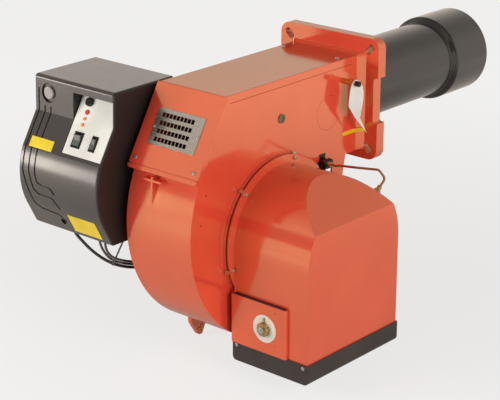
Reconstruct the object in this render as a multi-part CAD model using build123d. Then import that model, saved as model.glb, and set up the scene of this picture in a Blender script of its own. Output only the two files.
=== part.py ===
from build123d import *
import math
import os

# Monobloc industrial gas burner, in millimetres.
# +Y runs along the blast tube towards the furnace, +Z is up and +X is the side with the
# air-intake box.  The origin is the centre of the mounting flange's furnace face.

# ---------------------------------------------------------------- mounting flange casting
FLANGE_SIDE = 320
FLANGE_THICK = 30
FLANGE_CORNER_R = 28
WAIST_DEPTH = 14            # how far the side edges are set back between the corner lobes
WAIST_HALF = 60
STUD_SLOT_R = 9
STUD_SLOT_IN = 178          # slot centres, measured from the tube axis
STUD_SLOT_OUT = 192
NECK_FLARE = 16             # how far the neck widens from the duct to the flange
NECK_START = -48            # where the duct's side plates end
SPIGOT_START = -66          # where the casting enters the duct
CASTING_WALL = 10

# ---------------------------------------------------------------- blast tube and head
TUBE_R = 101
TUBE_WALL = 4
HEAD_R = 115
FLARE_START = 380
FLARE_END = 397
TUBE_END = 534
TUBE_FLANGE_R = 105
TUBE_FLANGE_THICK = 5
TUBE_BOLT_R = 116           # pitch radius of the four tube bolts
HEAD_TRAVEL = 25            # adjustment of the combustion head along the tube

# ---------------------------------------------------------------- fan housing and duct
HALF_WIDTH = 105            # outside of the side plates
PLATE = 5
SHEET = 3
TOP_Z = 116
DUCT_FLOOR_Z = -137
COVER_TOP_Y = -546
COVER_ANGLE = 59.1          # slope of the front cover from the horizontal
COVER_LENGTH = 206
LIP_START = 208
LIP_END = 219
COVER_HALF = 112
LID_FRONT_Y = -540
LID_SKIRT = 19
SCROLL_Y = -345             # centre of the front and bottom arc of the scroll
SCROLL_Z = -218
SCROLL_R = 325
SCROLL_REAR_R = 230
TONGUE_R = 150
TONGUE_ANGLE = 60
COLUMN_WIDTH = 50

# ---------------------------------------------------------------- fan, intake and motor
FAN_Y = -363
FAN_Z = -265
WHEEL_R = 145
WHEEL_EYE_R = 118
WHEEL_BACK_X = -84
WHEEL_FRONT_X = 65
BLADES = 32
BLADE_THICK = 2
SHAFT_R = 12
RUN = 0.05                  # radial clearance of every running fit
INLET_HOLE_R = 122
BOX_R = 174                 # radius of the intake box's arched top
RING_R = BOX_R + 21         # the ring stands proud of the arch by its screws' heads
RING_WIDE = 30
RING_THICK = 5
RING_SCREW_R = BOX_R + 12
RING_SCREW_HEAD_R = 5
RING_SCREWS = 6
COLLAR_OUT_R = RING_R + 2
COLLAR_IN_R = RING_R - 19
COLLAR_HIGH = 8
GASKET_THICK = 5
BOX_LENGTH = 229
BOX_BOTTOM_Z = -545
BOX_RIDGE_Z = -178          # where the sloping end meets the upright end
BOX_ARCH_CUT = 107          # how far the slope runs back to the top of the arch
STRIP_TOP_Z = -497.5
STRIP_BOTTOM_Z = -549
STRIP_THICK = 4
DAMPER_X = 228
DAMPER_Z = -434
DAMPER_SHAFT_R = 5
DAMPER_HALF = 96
MOTOR_R = 82
MOTOR_CORE_R = 74
MOTOR_FLANGE_R = 128
MOTOR_BOLT_R = 118
MOTOR_BODY_LENGTH = 186
MOTOR_FINS = 36
COWL_LENGTH = 58

# ---------------------------------------------------------------- gas line
PORT_Y = -161
PORT_Z = -10
PORT_R = 44
GAS_PIPE_R = 38
GAS_PIPE_WALL = 5
GAS_FLANGE_R = 70           # DN 50 flange: 140 across, four M12 on a 110 circle
GAS_FLANGE_THICK = 16
GAS_BOLT_R = 55
M12_TAP_R = 5.1
LANCE_R = 30
LANCE_WALL = 4

# ---------------------------------------------------------------- control box
CB_LEFT = -401
CB_RIGHT = -125
CB_BACK_Y = -479
CB_TOP_Z = 110
CB_BOTTOM_Z = -271
CB_WALL = 4
CB_BASE = 3
PANEL_ANGLE = 59
PANEL_LEFT = -261
PANEL_RIGHT = -131
PANEL_THICK = 2
NOTCH_LEFT = -264
NOTCH_TOP_Z = 86
PANEL_BOTTOM_Z = -53
BUTTON_X = -350
BUTTON_Z = 69
BUTTON_R = 15.5
BUTTON_TRAVEL = 3
RECESS_R = 25
RECESS_DEEP = 6
GROOVE_WIDE = 5
GROOVE_DEEP = 2
PIVOT_DEEP = 5              # depth of the rocker pins below the panel's face
PIVOT_R = 1.5

# ---------------------------------------------------------------- fasteners and cables
M8_R = 4
M8_HEAD_R = 6.5
M8_HEAD_HIGH = 5.3
M5_R = 2.5
M5_HEAD_R = 5
M5_HEAD_HIGH = 3
GLAND_R = 9
GLAND_HIGH = 12
POWER_CABLE_R = 4
LEAD_R = 3.2

COVER_SIN = math.sin(math.radians(COVER_ANGLE))
COVER_COS = math.cos(math.radians(COVER_ANGLE))
cover_plane = Plane(origin=(0, COVER_TOP_Y, TOP_Z), x_dir=(1, 0, 0), z_dir=(0, -COVER_SIN, COVER_COS))
PANEL_SIN = math.sin(math.radians(PANEL_ANGLE))
PANEL_COS = math.cos(math.radians(PANEL_ANGLE))
FOLD_Y = -684               # where the control box's upright front meets the sloping part
FOLD_Z = 20
panel_plane = Plane(origin=(0, FOLD_Y, FOLD_Z), x_dir=(1, 0, 0), z_dir=(0, -PANEL_SIN, PANEL_COS))

nodes = {}


def keep(name, *solids):
    """File the solids of one sub-part under its node's name."""
    nodes[name] = [piece for solid in solids for piece in solid.solids()]


def block(x, y, z):
    """A block given by its low and high corner along each axis."""
    size = [abs(b - a) for a, b in (x, y, z)]
    centre = [(a + b) / 2 for a, b in (x, y, z)]
    return Pos(*centre) * Box(*size)


def rod_x(radius, x, y, z):
    return Pos((x[0] + x[1]) / 2, y, z) * Rot(0, 90, 0) * Cylinder(radius, abs(x[1] - x[0]))


def rod_y(radius, x, y, z):
    return Pos(x, (y[0] + y[1]) / 2, z) * Rot(90, 0, 0) * Cylinder(radius, abs(y[1] - y[0]))


def rod_z(radius, x, y, z):
    return Pos(x, y, (z[0] + z[1]) / 2) * Cylinder(radius, abs(z[1] - z[0]))


def side_slab(sketch, x):
    """Thicken a side view, drawn in Y and Z, from x[0] to x[1]."""
    plane = Plane(origin=(x[0], 0, 0), x_dir=(0, 1, 0), z_dir=(1, 0, 0))
    return extrude(plane * sketch, amount=x[1] - x[0])


def front_slab(sketch, y):
    """Thicken a front view, drawn in X and Z, from y[0] to y[1]."""
    plane = Plane(origin=(0, y[1], 0), x_dir=(1, 0, 0), z_dir=(0, -1, 0))
    return extrude(plane * sketch, amount=y[1] - y[0])


def ring_x(outer, inner, x, y, z):
    return rod_x(outer, x, y, z) - rod_x(inner, (x[0] - 1, x[1] + 1), y, z)


def ring_y(outer, inner, x, y, z):
    return rod_y(outer, x, y, z) - rod_y(inner, x, (y[0] - 1, y[1] + 1), z)


def on_circle(radius, count, start=0):
    """Points spaced evenly round a circle, as pairs."""
    angles = [math.radians(start + 360 * i / count) for i in range(count)]
    return [(radius * math.cos(a), radius * math.sin(a)) for a in angles]


# ================================================================ mounting flange
def mounting_flange():
    half = FLANGE_SIDE / 2
    outline = RectangleRounded(FLANGE_SIDE, FLANGE_SIDE, FLANGE_CORNER_R)
    for side in (-1, 1):
        waist = RectangleRounded(2 * WAIST_DEPTH, 2 * WAIST_HALF, WAIST_DEPTH * 0.6)
        outline -= Pos(side * half, 0) * waist
    for x, z in on_circle(1, 4, 45):
        middle = (STUD_SLOT_IN + STUD_SLOT_OUT) / 2
        slot = SlotCenterToCenter(STUD_SLOT_OUT - STUD_SLOT_IN, 2 * STUD_SLOT_R)
        outline -= Pos(x * middle, z * middle) * Rot(0, 0, math.degrees(math.atan2(z, x))) * slot
    plate = front_slab(outline, (-FLANGE_THICK, 0))

    duct_mid = (TOP_Z + DUCT_FLOOR_Z) / 2
    duct_high = TOP_Z - DUCT_FLOOR_Z

    def section(y, width, low, high, corner):
        view = Plane(origin=(0, y, 0), x_dir=(1, 0, 0), z_dir=(0, -1, 0))
        return view * Pos(0, (low + high) / 2) * RectangleRounded(width, high - low, corner)

    neck = loft([section(-FLANGE_THICK, 2 * (HALF_WIDTH + NECK_FLARE), DUCT_FLOOR_Z, TOP_Z + 5, 12),
                 section(NECK_START, 2 * HALF_WIDTH, DUCT_FLOOR_Z, TOP_Z, 4)])
    spigot = block((-HALF_WIDTH + PLATE, HALF_WIDTH - PLATE), (SPIGOT_START, NECK_START),
                   (DUCT_FLOOR_Z, TOP_Z - SHEET))
    shoulder = block((-HALF_WIDTH, HALF_WIDTH), (SPIGOT_START, NECK_START), (SHOULDER_Z, TOP_Z))
    hollow = loft([section(-FLANGE_THICK, 2 * (HALF_WIDTH + 4), DUCT_FLOOR_Z + CASTING_WALL,
                           TOP_Z + 5 - CASTING_WALL, 12),
                   section(SPIGOT_START - 1, 2 * (HALF_WIDTH - PLATE - CASTING_WALL + 2),
                           DUCT_FLOOR_Z + CASTING_WALL, TOP_Z - SHEET - CASTING_WALL + 3, 8)])
    casting = plate + neck + spigot + shoulder - hollow
    casting -= rod_y(TUBE_R + 0.2, 0, (-FLANGE_THICK - 1, 1), 0)
    for x, z in on_circle(TUBE_BOLT_R, 4, 45):
        casting -= rod_y(M8_R, x, (-FLANGE_THICK - 1, -FLANGE_THICK + TUBE_BOLT_DEEP), z)
    return casting


SHOULDER_Z = 66             # the side plates are notched above this height
TUBE_BOLT_DEEP = 15
keep("mounting_flange", mounting_flange())


# ================================================================ blast tube
def blast_tube():
    start = -FLANGE_THICK - TUBE_FLANGE_THICK
    outer = [Line((0, start), (TUBE_R, start)), Line((TUBE_R, start), (TUBE_R, FLARE_START)),
             Spline((TUBE_R, FLARE_START), (HEAD_R, FLARE_END), tangents=((0, 1), (0, 1))),
             Line((HEAD_R, FLARE_END), (HEAD_R, TUBE_END)), Line((HEAD_R, TUBE_END), (0, TUBE_END)),
             Line((0, TUBE_END), (0, start))]
    inner_r = TUBE_R - TUBE_WALL
    inner_head = HEAD_R - TUBE_WALL
    inner = [Line((0, start - 1), (inner_r, start - 1)), Line((inner_r, start - 1), (inner_r, FLARE_START)),
             Spline((inner_r, FLARE_START), (inner_head, FLARE_END), tangents=((0, 1), (0, 1))),
             Line((inner_head, FLARE_END), (inner_head, TUBE_END + 1)),
             Line((inner_head, TUBE_END + 1), (0, TUBE_END + 1)), Line((0, TUBE_END + 1), (0, start - 1))]
    tube = revolve(make_face(outer), Axis.Y) - revolve(make_face(inner), Axis.Y)
    tabs = Circle(TUBE_FLANGE_R)
    for x, z in on_circle(TUBE_BOLT_R, 4, 45):
        tabs += Pos(x, z) * Circle(M8_R * 3)
    tabs -= Circle(TUBE_R - 1)
    for x, z in on_circle(TUBE_BOLT_R, 4, 45):
        tabs -= Pos(x, z) * Circle(M8_R + 0.3)
    return tube + front_slab(tabs, (start, -FLANGE_THICK))


keep("blast_tube", blast_tube())


# ================================================================ fan housing
def scroll_view():
    """Side view of the scroll: arcs that shrink from the front, under the fan, to the tongue."""
    low = (SCROLL_Y, SCROLL_Z - SCROLL_R)
    rear_centre = (SCROLL_Y, low[1] + SCROLL_REAR_R)
    rear = (SCROLL_Y + SCROLL_REAR_R, rear_centre[1])
    tongue_centre = (rear[0] - TONGUE_R, rear[1])
    a = math.radians(TONGUE_ANGLE)
    tip = (tongue_centre[0] + TONGUE_R * math.cos(a), tongue_centre[1] + TONGUE_R * math.sin(a))
    front = lip_root()
    start = math.degrees(math.atan2(front[1] - SCROLL_Z, front[0] - SCROLL_Y))
    nose_end = (tip[0], DUCT_FLOOR_Z)
    nose_r = (nose_end[1] - tip[1]) / 2
    return make_face([
        CenterArc((SCROLL_Y, SCROLL_Z), SCROLL_R, start, 270 - start),
        CenterArc(rear_centre, SCROLL_REAR_R, 270, 90),
        CenterArc(tongue_centre, TONGUE_R, 0, TONGUE_ANGLE),
        ThreePointArc(tip, (tip[0] - nose_r, (tip[1] + nose_end[1]) / 2), nose_end),
        Line(nose_end, (nose_end[0], 0)), Line((nose_end[0], 0), front)])


def down_slope(distance, depth=0):
    """A point of the side view on the cover's slope, or a depth below it."""
    return (COVER_TOP_Y - COVER_COS * distance + COVER_SIN * depth,
            TOP_Z - COVER_SIN * distance - COVER_COS * depth)


def lip_root():
    """Where the lower lip, square to the slope, meets the scroll."""
    y, z = down_slope(LIP_END)
    dy, dz = y - SCROLL_Y, z - SCROLL_Z
    b = dy * COVER_SIN - dz * COVER_COS
    depth = -b - math.sqrt(b * b - (dy * dy + dz * dz - SCROLL_R ** 2))
    return down_slope(LIP_END, depth)


def duct_view(rear):
    """Side view of the duct behind the cover and under the lid."""
    top_front = down_slope(0, SHEET)
    return make_face(Polyline(
        (rear, TOP_Z - SHEET), (LID_FRONT_Y, TOP_Z - SHEET), (LID_FRONT_Y, TOP_Z),
        (COVER_TOP_Y + SHEET, TOP_Z), top_front, down_slope(LIP_START, SHEET), down_slope(LIP_START),
        down_slope(LIP_END), lip_root(), (SCROLL_Y, DUCT_FLOOR_Z - 20), (-220, DUCT_FLOOR_Z),
        (rear, DUCT_FLOOR_Z), close=True))


def column_view():
    """Strip of side plate that ties the duct to the back of the scroll."""
    left = -138
    foot_z = SCROLL_Z - SCROLL_R + SCROLL_REAR_R
    return make_face(Polyline(
        (left, DUCT_FLOOR_Z + 5), (left + COLUMN_WIDTH, DUCT_FLOOR_Z + 5),
        (left + COLUMN_WIDTH, DUCT_FLOOR_Z - 3),
        (left + COLUMN_WIDTH - 11, DUCT_FLOOR_Z - 55), (SCROLL_Y + SCROLL_REAR_R + 2, foot_z),
        (SCROLL_Y + SCROLL_REAR_R - 20, foot_z), (left - 10, DUCT_FLOOR_Z - 80), close=True))


def housing_lip():
    lip_mid = (LIP_START + LIP_END) / 2
    lip = cover_plane * Pos(0, -lip_mid, -SHEET / 2) * Box(2 * COVER_HALF, LIP_END - LIP_START, SHEET)
    return fillet(lip.edges().filter_by(lambda e: abs(e.length - SHEET) < 0.01).sort_by(Axis.Z)[:2], 8)


def lid_rebate():
    """Space that the lid's skirts and the casting's shoulder take out of the top edges."""
    space = block((-HALF_WIDTH - 1, HALF_WIDTH + 1), (SPIGOT_START, NECK_START + 1), (SHOULDER_Z, TOP_Z + 1))
    rebate = SHEET + 0.1
    for side in (-1, 1):
        edge = sorted((side * (HALF_WIDTH - rebate), side * (HALF_WIDTH + 1)))
        space += block(edge, (LID_FRONT_Y - 0.5, NECK_START + 1), (TOP_Z - LID_SKIRT - 1, TOP_Z + 1))
    return space


def fan_housing():
    """The rolled sheet between the side plates: drum, sloping front, duct roof and floor."""
    body = scroll_view() + duct_view(SPIGOT_START)
    shell = side_slab(body, (-HALF_WIDTH + PLATE, HALF_WIDTH - PLATE))
    shell -= side_slab(offset(body, amount=-SHEET), (-HALF_WIDTH + PLATE - 1, HALF_WIDTH - PLATE + 1))
    shell -= block((-HALF_WIDTH, HALF_WIDTH), (SPIGOT_START - SHEET - 1, SPIGOT_START + 1),
                   (DUCT_FLOOR_Z + SHEET, TOP_Z - 2 * SHEET))
    shell -= block((-LID_OPEN_HALF, LID_OPEN_HALF), (LID_FRONT_Y + 36, SPIGOT_START - 60),
                   (TOP_Z - 3 * SHEET, TOP_Z + 1))
    window_mid = (WINDOW_TOP + WINDOW_BOTTOM) / 2
    shell -= cover_plane * Pos(0, -window_mid, -SHEET) * Box(2 * WINDOW_HALF, WINDOW_BOTTOM - WINDOW_TOP, 12)
    housing = shell + housing_lip() - lid_rebate()
    for x, d in cover_screw_places():
        housing -= cover_plane * Pos(x, -d, -SHEET) * Cylinder(M5_R, 14)
    for x, y in lid_screw_places():
        housing -= rod_z(M5_R, x, y, (TOP_Z - 3 * SHEET, TOP_Z))
    return housing + drum_bracket()


def side_plate(side):
    """One side plate with its lug; its outline follows the drum, the duct and the column."""
    view = scroll_view() + duct_view(NECK_START) + column_view()
    plate = side_slab(view, sorted((side * (HALF_WIDTH - PLATE), side * HALF_WIDTH)))
    return plate - housing_lip() - lid_rebate() + foot_lug(side)


def right_side_plate():
    """Plate on the intake side, with the collar that the ring seats on."""
    right = side_plate(1)
    right += ring_x(COLLAR_OUT_R, COLLAR_IN_R, (HALF_WIDTH, HALF_WIDTH + COLLAR_HIGH), FAN_Y, FAN_Z)
    right -= rod_x(INLET_HOLE_R, (0, HALF_WIDTH + 1), FAN_Y, FAN_Z)
    right -= rod_x(PORT_R + 0.4, (0, HALF_WIDTH + 1), PORT_Y, PORT_Z)
    right -= rod_x(PLUG_R, (0, HALF_WIDTH + 1), PLUG_Y, PLUG_Z)
    right -= rod_x(NIPPLE_R, (0, HALF_WIDTH + 1), NIPPLE_Y, NIPPLE_Z)
    for y, z in on_circle(RING_SCREW_R, RING_SCREWS, RING_SCREW_START):
        right -= rod_x(RING_SCREW_SHANK_R, (HALF_WIDTH - PLATE - 1, HALF_WIDTH + COLLAR_HIGH + 1),
                       FAN_Y + y, FAN_Z + z)
    return right


def left_side_plate():
    """Plate on the motor side, with holes for the motor, the gas pipe, the bracket and the leads."""
    left = side_plate(-1)
    left -= rod_x(MOTOR_SPIGOT_R + 0.2, (-HALF_WIDTH - 1, 0), FAN_Y, FAN_Z)
    left -= rod_x(GAS_PIPE_R + 0.2, (-HALF_WIDTH - 1, 0), PORT_Y, PORT_Z)
    for y, z in on_circle(MOTOR_BOLT_R, 4, 45):
        left -= rod_x(M8_R + 0.05, (-HALF_WIDTH - 1, 0), FAN_Y + y, FAN_Z + z)
    for z in BRACKET_BOLTS_Z:
        left -= rod_x(M8_R + 0.05, (-HALF_WIDTH - 1, 0), BRACKET_BOLT_Y, z)
    for y, z in LEAD_ENTRIES:
        left -= rod_x(GLAND_THREAD_R + 0.1, (-HALF_WIDTH - 1, 0), y, z)
    return left


def drum_bracket():
    """Welded rib and ledge on the front of the drum, under the cover's lip."""
    rib = make_face(Polyline((-660, -80), (-662, -110), (-664, -190), (-655, -200), (-620, -200),
                             (-600, -80), close=True))
    rib_solid = side_slab(rib, (BRACKET_X - SHEET, BRACKET_X + SHEET))
    ledge = block((BRACKET_X - 26, BRACKET_X + 30), (-662, -620), (-92, -86))
    inside = side_slab(offset(scroll_view(), amount=-1), (-HALF_WIDTH, HALF_WIDTH))
    return rib_solid + ledge - inside


def foot_lug(side):
    """Lug under the drum for the pin of a support leg; there is one on each side plate."""
    low = SCROLL_Z - SCROLL_R
    view = make_face(Polyline((LUG_Y - 34, low + 40), (LUG_Y - 28, low - 6), (LUG_Y - 2, low - 46),
                              (LUG_Y + 10, low - 46), (LUG_Y + 28, low - 10), (LUG_Y + 34, low + 40), close=True))
    corners = [v for v in view.vertices() if v.Y < low]
    view = fillet(corners, 6) - Pos(LUG_Y, low - LUG_HOLE_DROP) * Circle(LUG_HOLE_R)
    return side_slab(view, sorted((side * (HALF_WIDTH - PLATE), side * (HALF_WIDTH + LUG_PROUD))))


def cover_screw_places():
    return [(side * 94, 191) for side in (-1, 1)]


def lid_screw_places():
    return [(side * 88, SPIGOT_START - 41) for side in (-1, 1)]


LID_OPEN_HALF = 76
WINDOW_TOP = 22
WINDOW_BOTTOM = 180
WINDOW_HALF = 82
PLUG_Y, PLUG_Z, PLUG_R = -343, 17, 9
NIPPLE_Y, NIPPLE_Z, NIPPLE_R = -106, 62, 5
MOTOR_SPIGOT_R = 106
BRACKET_X = -27
LUG_Y = -422
LUG_HOLE_R = 6
LUG_HOLE_DROP = 22
LUG_PROUD = 8
BRACKET_BOLT_Y = -464
BRACKET_BOLTS_Z = (-150, -50, 50)
GLAND_THREAD_R = 6
LEAD_ENTRIES = [(-250, -60), (-220, -60)]
RING_SCREW_START = 15
RING_SCREW_SHANK_R = 3
keep("fan_housing", fan_housing())
keep("right_side_plate", right_side_plate())
keep("left_side_plate", left_side_plate())


def top_cover():
    gap = 0.5
    y = (LID_FRONT_Y + gap, SPIGOT_START - gap)
    lid = block((-HALF_WIDTH, HALF_WIDTH), y, (TOP_Z - LID_SKIRT, TOP_Z))
    lid = fillet(lid.edges().filter_by(Axis.Y).sort_by(Axis.Z)[-2:], 2)
    inner = HALF_WIDTH - SHEET
    lid -= block((-inner, inner), (y[0] - 1, y[1] + 1), (TOP_Z - LID_SKIRT - 1, TOP_Z - SHEET))
    for x, y_screw in lid_screw_places():
        lid -= rod_z(M5_R + 0.2, x, y_screw, (TOP_Z - SHEET - 1, TOP_Z + 1))
    return lid


keep("top_cover", top_cover())


def front_cover():
    """Sloping inspection cover: a folded tray with a window for the vent plate."""
    middle = COVER_LENGTH / 2
    panel = Pos(0, -middle, -SHEET / 2) * Box(2 * COVER_HALF, COVER_LENGTH, SHEET)
    panel = fillet(panel.edges().filter_by(Axis.Y).sort_by(Axis.Z)[-2:], 1.5)
    for side in (-1, 1):
        x = side * (COVER_HALF - SHEET / 2)
        panel += Pos(x, -middle - 3, -(SHEET + COVER_RETURN) / 2) * Box(SHEET, COVER_LENGTH - 6, COVER_RETURN)
    vent_mid = (VENT_TOP + VENT_BOTTOM) / 2
    panel -= Pos(0, -vent_mid, 0) * Box(2 * VENT_HALF - 16, VENT_BOTTOM - VENT_TOP - 12, 3 * SHEET)
    for x, d in cover_screw_places():
        panel -= Pos(x, -d, 0) * Cylinder(M5_R + 0.2, 3 * SHEET)
    for x, d in vent_screw_places():
        panel -= Pos(x, -d, 0) * Cylinder(VENT_SCREW_R, 3 * SHEET)
    return cover_plane * panel


COVER_RETURN = 14
VENT_TOP, VENT_BOTTOM, VENT_HALF = 60, 152, 75
VENT_THICK = 2
VENT_SCREW_R = 2
VENT_ROWS = 4
VENT_SLOTS = 9


def vent_screw_places():
    middle = (VENT_TOP + VENT_BOTTOM) / 2
    return [(side * (VENT_HALF - 4), middle + 2) for side in (-1, 1)]


def vent_plate():
    """Bright steel vent plate with four rows of slots and turned-down edges."""
    middle = (VENT_TOP + VENT_BOTTOM) / 2
    tall = VENT_BOTTOM - VENT_TOP
    plate = Pos(0, -middle, VENT_THICK / 2) * Box(2 * VENT_HALF, tall, VENT_THICK)
    plate = chamfer(plate.faces().sort_by(Axis.Z)[-1].edges(), 0.6)
    pitch = 105 / VENT_SLOTS
    for row in range(VENT_ROWS):
        d = VENT_TOP + 16.5 + row * 20.3
        for i in range(VENT_SLOTS):
            x = -7 + (i - (VENT_SLOTS - 1) / 2) * pitch
            plate -= Pos(x, -d, 0) * Box(pitch - 2, 11, 3 * VENT_THICK)
    for x, d in vent_screw_places():
        plate -= Pos(x, -d, 0) * Cylinder(VENT_SCREW_R, 3 * VENT_THICK)
    return cover_plane * plate


def pan_screw(radius, head_r, head_high, reach):
    """Pan-head screw with its head above the XY plane."""
    head = Pos(0, 0, head_high / 2) * Cylinder(head_r, head_high)
    head = fillet(head.edges().sort_by(Axis.Z)[-1], head_high * 0.6)
    head -= Pos(0, 0, head_high) * Box(head_r * 1.1, head_r * 0.26, head_high * 0.8)
    head -= Pos(0, 0, head_high) * Box(head_r * 0.26, head_r * 1.1, head_high * 0.8)
    return head + Pos(0, 0, -reach / 2) * Cylinder(radius, reach)


keep("front_cover", front_cover())
keep("vent_plate", vent_plate())
vent_screw = pan_screw(VENT_SCREW_R - 0.02, 4, 1.8, SHEET)
keep("vent_plate_screws",
     *[cover_plane * Pos(x, -d, VENT_THICK) * vent_screw for x, d in vent_screw_places()])

cover_screw = pan_screw(M5_R - 0.02, M5_HEAD_R, M5_HEAD_HIGH, 2 * SHEET)
# The strip's screws face -Y and +Y, low on the intake box.
STRIP_OUT_FRONT = FAN_Y - BOX_R - STRIP_THICK
STRIP_OUT_REAR = FAN_Y + BOX_R + STRIP_THICK
BOX_LEFT = HALF_WIDTH + COLLAR_HIGH + GASKET_THICK + RING_THICK
BOX_RIGHT = BOX_LEFT + BOX_LENGTH
strip_screw_places = [(BOX_LEFT + 12, STRIP_TOP_Z - 8), (BOX_RIGHT - 9, STRIP_TOP_Z - 8)]
front_screws = [Pos(x, STRIP_OUT_FRONT, z) * Rot(90, 0, 0) * cover_screw for x, z in strip_screw_places]
rear_screws = [Pos(x, STRIP_OUT_REAR, z) * Rot(-90, 0, 0) * cover_screw for x, z in strip_screw_places]
keep("cover_screws",
     *[cover_plane * Pos(x, -d, 0) * cover_screw for x, d in cover_screw_places()],
     *[Pos(x, y, TOP_Z) * cover_screw for x, y in lid_screw_places()], *front_screws, *rear_screws)


# ================================================================ fittings on the right side plate
def side_plug():
    face = HALF_WIDTH
    plug = rod_x(PLUG_R - 0.1, (face - PLATE - 3, face), PLUG_Y, PLUG_Z)
    plug += rod_x(PLUG_R + 3, (face, face + 2.5), PLUG_Y, PLUG_Z)
    return plug - rod_x(PLUG_R - 2, (face + 1, face + 3), PLUG_Y, PLUG_Z)


def test_nipple():
    face = HALF_WIDTH
    nipple = rod_x(NIPPLE_R - 0.05, (face - PLATE - 2, face), NIPPLE_Y, NIPPLE_Z)
    nipple += rod_x(4, (face, face + NIPPLE_LONG), NIPPLE_Y, NIPPLE_Z)
    hexagon = Pos(NIPPLE_Y, NIPPLE_Z) * RegularPolygon(8.5, 6)
    return nipple + side_slab(hexagon, (face + 26, face + 36))


def nipple_caps():
    face = HALF_WIDTH
    collar = ring_x(7, 4.02, (face, face + 25.9), NIPPLE_Y, NIPPLE_Z)
    cap = rod_x(7, (face + 44, face + NIPPLE_LONG + 4), NIPPLE_Y, NIPPLE_Z)
    cap -= rod_x(4.02, (face + 43, face + NIPPLE_LONG), NIPPLE_Y, NIPPLE_Z)
    return collar, fillet(cap.edges().filter_by(GeomType.CIRCLE).sort_by(Axis.X)[-1], 2)


def paper_tag():
    """Card tag threaded on the nipple; its lower corner is folded over."""
    x = HALF_WIDTH + 38
    outline = Pos(0, 0) * make_face([
        Spline((-128, 6), (-124, 40), (-106, 70), (-88, 64), (-68, 30), (-74, -12), (-80, -34)),
        Line((-80, -34), (-50, -82)), Line((-50, -82), (-100, -30)), Line((-100, -30), (-128, 6))])
    card = side_slab(outline, (x, x + TAG_THICK))
    return card - rod_x(4.1, (x - 1, x + 2), NIPPLE_Y, NIPPLE_Z)


def tag_strap():
    """Yellow strap that is laid on the side plate and runs to the flange's neck."""
    face = HALF_WIDTH
    path = Polyline((face, -104), (face, -60), (face + 3, -47), (face + 15.8, -32))
    path += Polyline((face + 15.8, -32), (face + 17, -33), (face + 4, -48.6), (face + 1, -60.4),
                     (face + 1, -104), (face, -104))
    return Pos(0, 0, STRAP_Z) * extrude(make_face(path), amount=10)


def port_blank():
    """Knock-out disc that closes the spare gas port, with its two retaining tabs."""
    inner = HALF_WIDTH - PLATE + 0.1
    disc = rod_x(PORT_R, (inner, HALF_WIDTH), PORT_Y, PORT_Z)
    for side in (-1, 1):
        tab = block((inner + 1, HALF_WIDTH - 1), (-0.37, 0.37), (-1.5, 1.5))
        disc += Pos(0, PORT_Y + side * PORT_R, PORT_Z) * tab
    return disc


NIPPLE_LONG = 52
TAG_THICK = 0.8
STRAP_Z = -86
keep("nipple_caps", *nipple_caps())
keep("paper_tag", paper_tag())
keep("tag_strap", tag_strap())
keep("blanking_plugs", side_plug(), port_blank())


# ================================================================ air intake
gasket_x = (HALF_WIDTH + COLLAR_HIGH, HALF_WIDTH + COLLAR_HIGH + GASKET_THICK)
ring_span = (gasket_x[1], BOX_LEFT)
screw_points = [(FAN_Y + y, FAN_Z + z) for y, z in on_circle(RING_SCREW_R, RING_SCREWS, RING_SCREW_START)]


def with_screw_holes(solid, radius):
    for y, z in screw_points:
        solid -= rod_x(radius, (HALF_WIDTH - PLATE - 1, BOX_LEFT + 1), y, z)
    return solid


def ring_screws():
    """Six cap screws, each with the small clip that hooks over the ring's rim."""
    solids = []
    for i, (y, z) in enumerate(screw_points):
        screw = rod_x(RING_SCREW_SHANK_R - 0.05, (HALF_WIDTH, BOX_LEFT), y, z)
        head = rod_x(RING_SCREW_HEAD_R, (BOX_LEFT, BOX_LEFT + 6), y, z)
        head = fillet(head.edges().sort_by(Axis.X)[-1], 2)
        solids.append(screw + head - rod_x(2.5, (BOX_LEFT + 3, BOX_LEFT + 7), y, z))
        angle = RING_SCREW_START + 360 * i / RING_SCREWS
        clip = block((gasket_x[0] - 2, ring_span[1] - 1), (RING_R + 0.05, RING_R + 5), (-5, 5))
        clip -= block((gasket_x[0] - 3, gasket_x[0] + 0.05), (RING_R - 1, COLLAR_OUT_R + 0.1), (-6, 6))
        solids.append(Pos(0, FAN_Y, FAN_Z) * Rot(angle, 0, 0) * clip)
    return solids


def arch_view(radius, bottom):
    """Side view of the intake box: an arch on two upright sides."""
    return make_face([
        CenterArc((FAN_Y, FAN_Z), radius, 0, 180),
        Line((FAN_Y - radius, FAN_Z), (FAN_Y - radius, bottom)),
        Line((FAN_Y - radius, bottom), (FAN_Y + radius, bottom)),
        Line((FAN_Y + radius, bottom), (FAN_Y + radius, FAN_Z))])


def arch_solid(inset, bottom):
    """The arch along X with its sloping end, all faces moved in by the inset."""
    solid = side_slab(arch_view(BOX_R - inset, bottom), (BOX_LEFT + inset, BOX_RIGHT - inset))
    rise = FAN_Z + BOX_R - BOX_RIDGE_Z
    along = math.hypot(rise, BOX_ARCH_CUT)
    x_ridge, x_top = BOX_RIGHT - inset, BOX_RIGHT - BOX_ARCH_CUT
    shift_x, shift_z = -inset * rise / along, -inset * BOX_ARCH_CUT / along
    ridge = (BOX_RIGHT + shift_x, BOX_RIDGE_Z + shift_z)
    top = (x_top + shift_x, FAN_Z + BOX_R + shift_z)
    out = (ridge[0] - top[0], ridge[1] - top[1])
    far, near = 1.0, 1.0
    wedge = make_face(Polyline(
        (ridge[0] + out[0] * far, ridge[1] + out[1] * far), (top[0] - out[0] * near, top[1] - out[1] * near),
        (x_ridge + 400, top[1] + 200), close=True))
    return solid - front_slab(wedge, (FAN_Y - BOX_R - 5, FAN_Y + BOX_R + 5))


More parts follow.
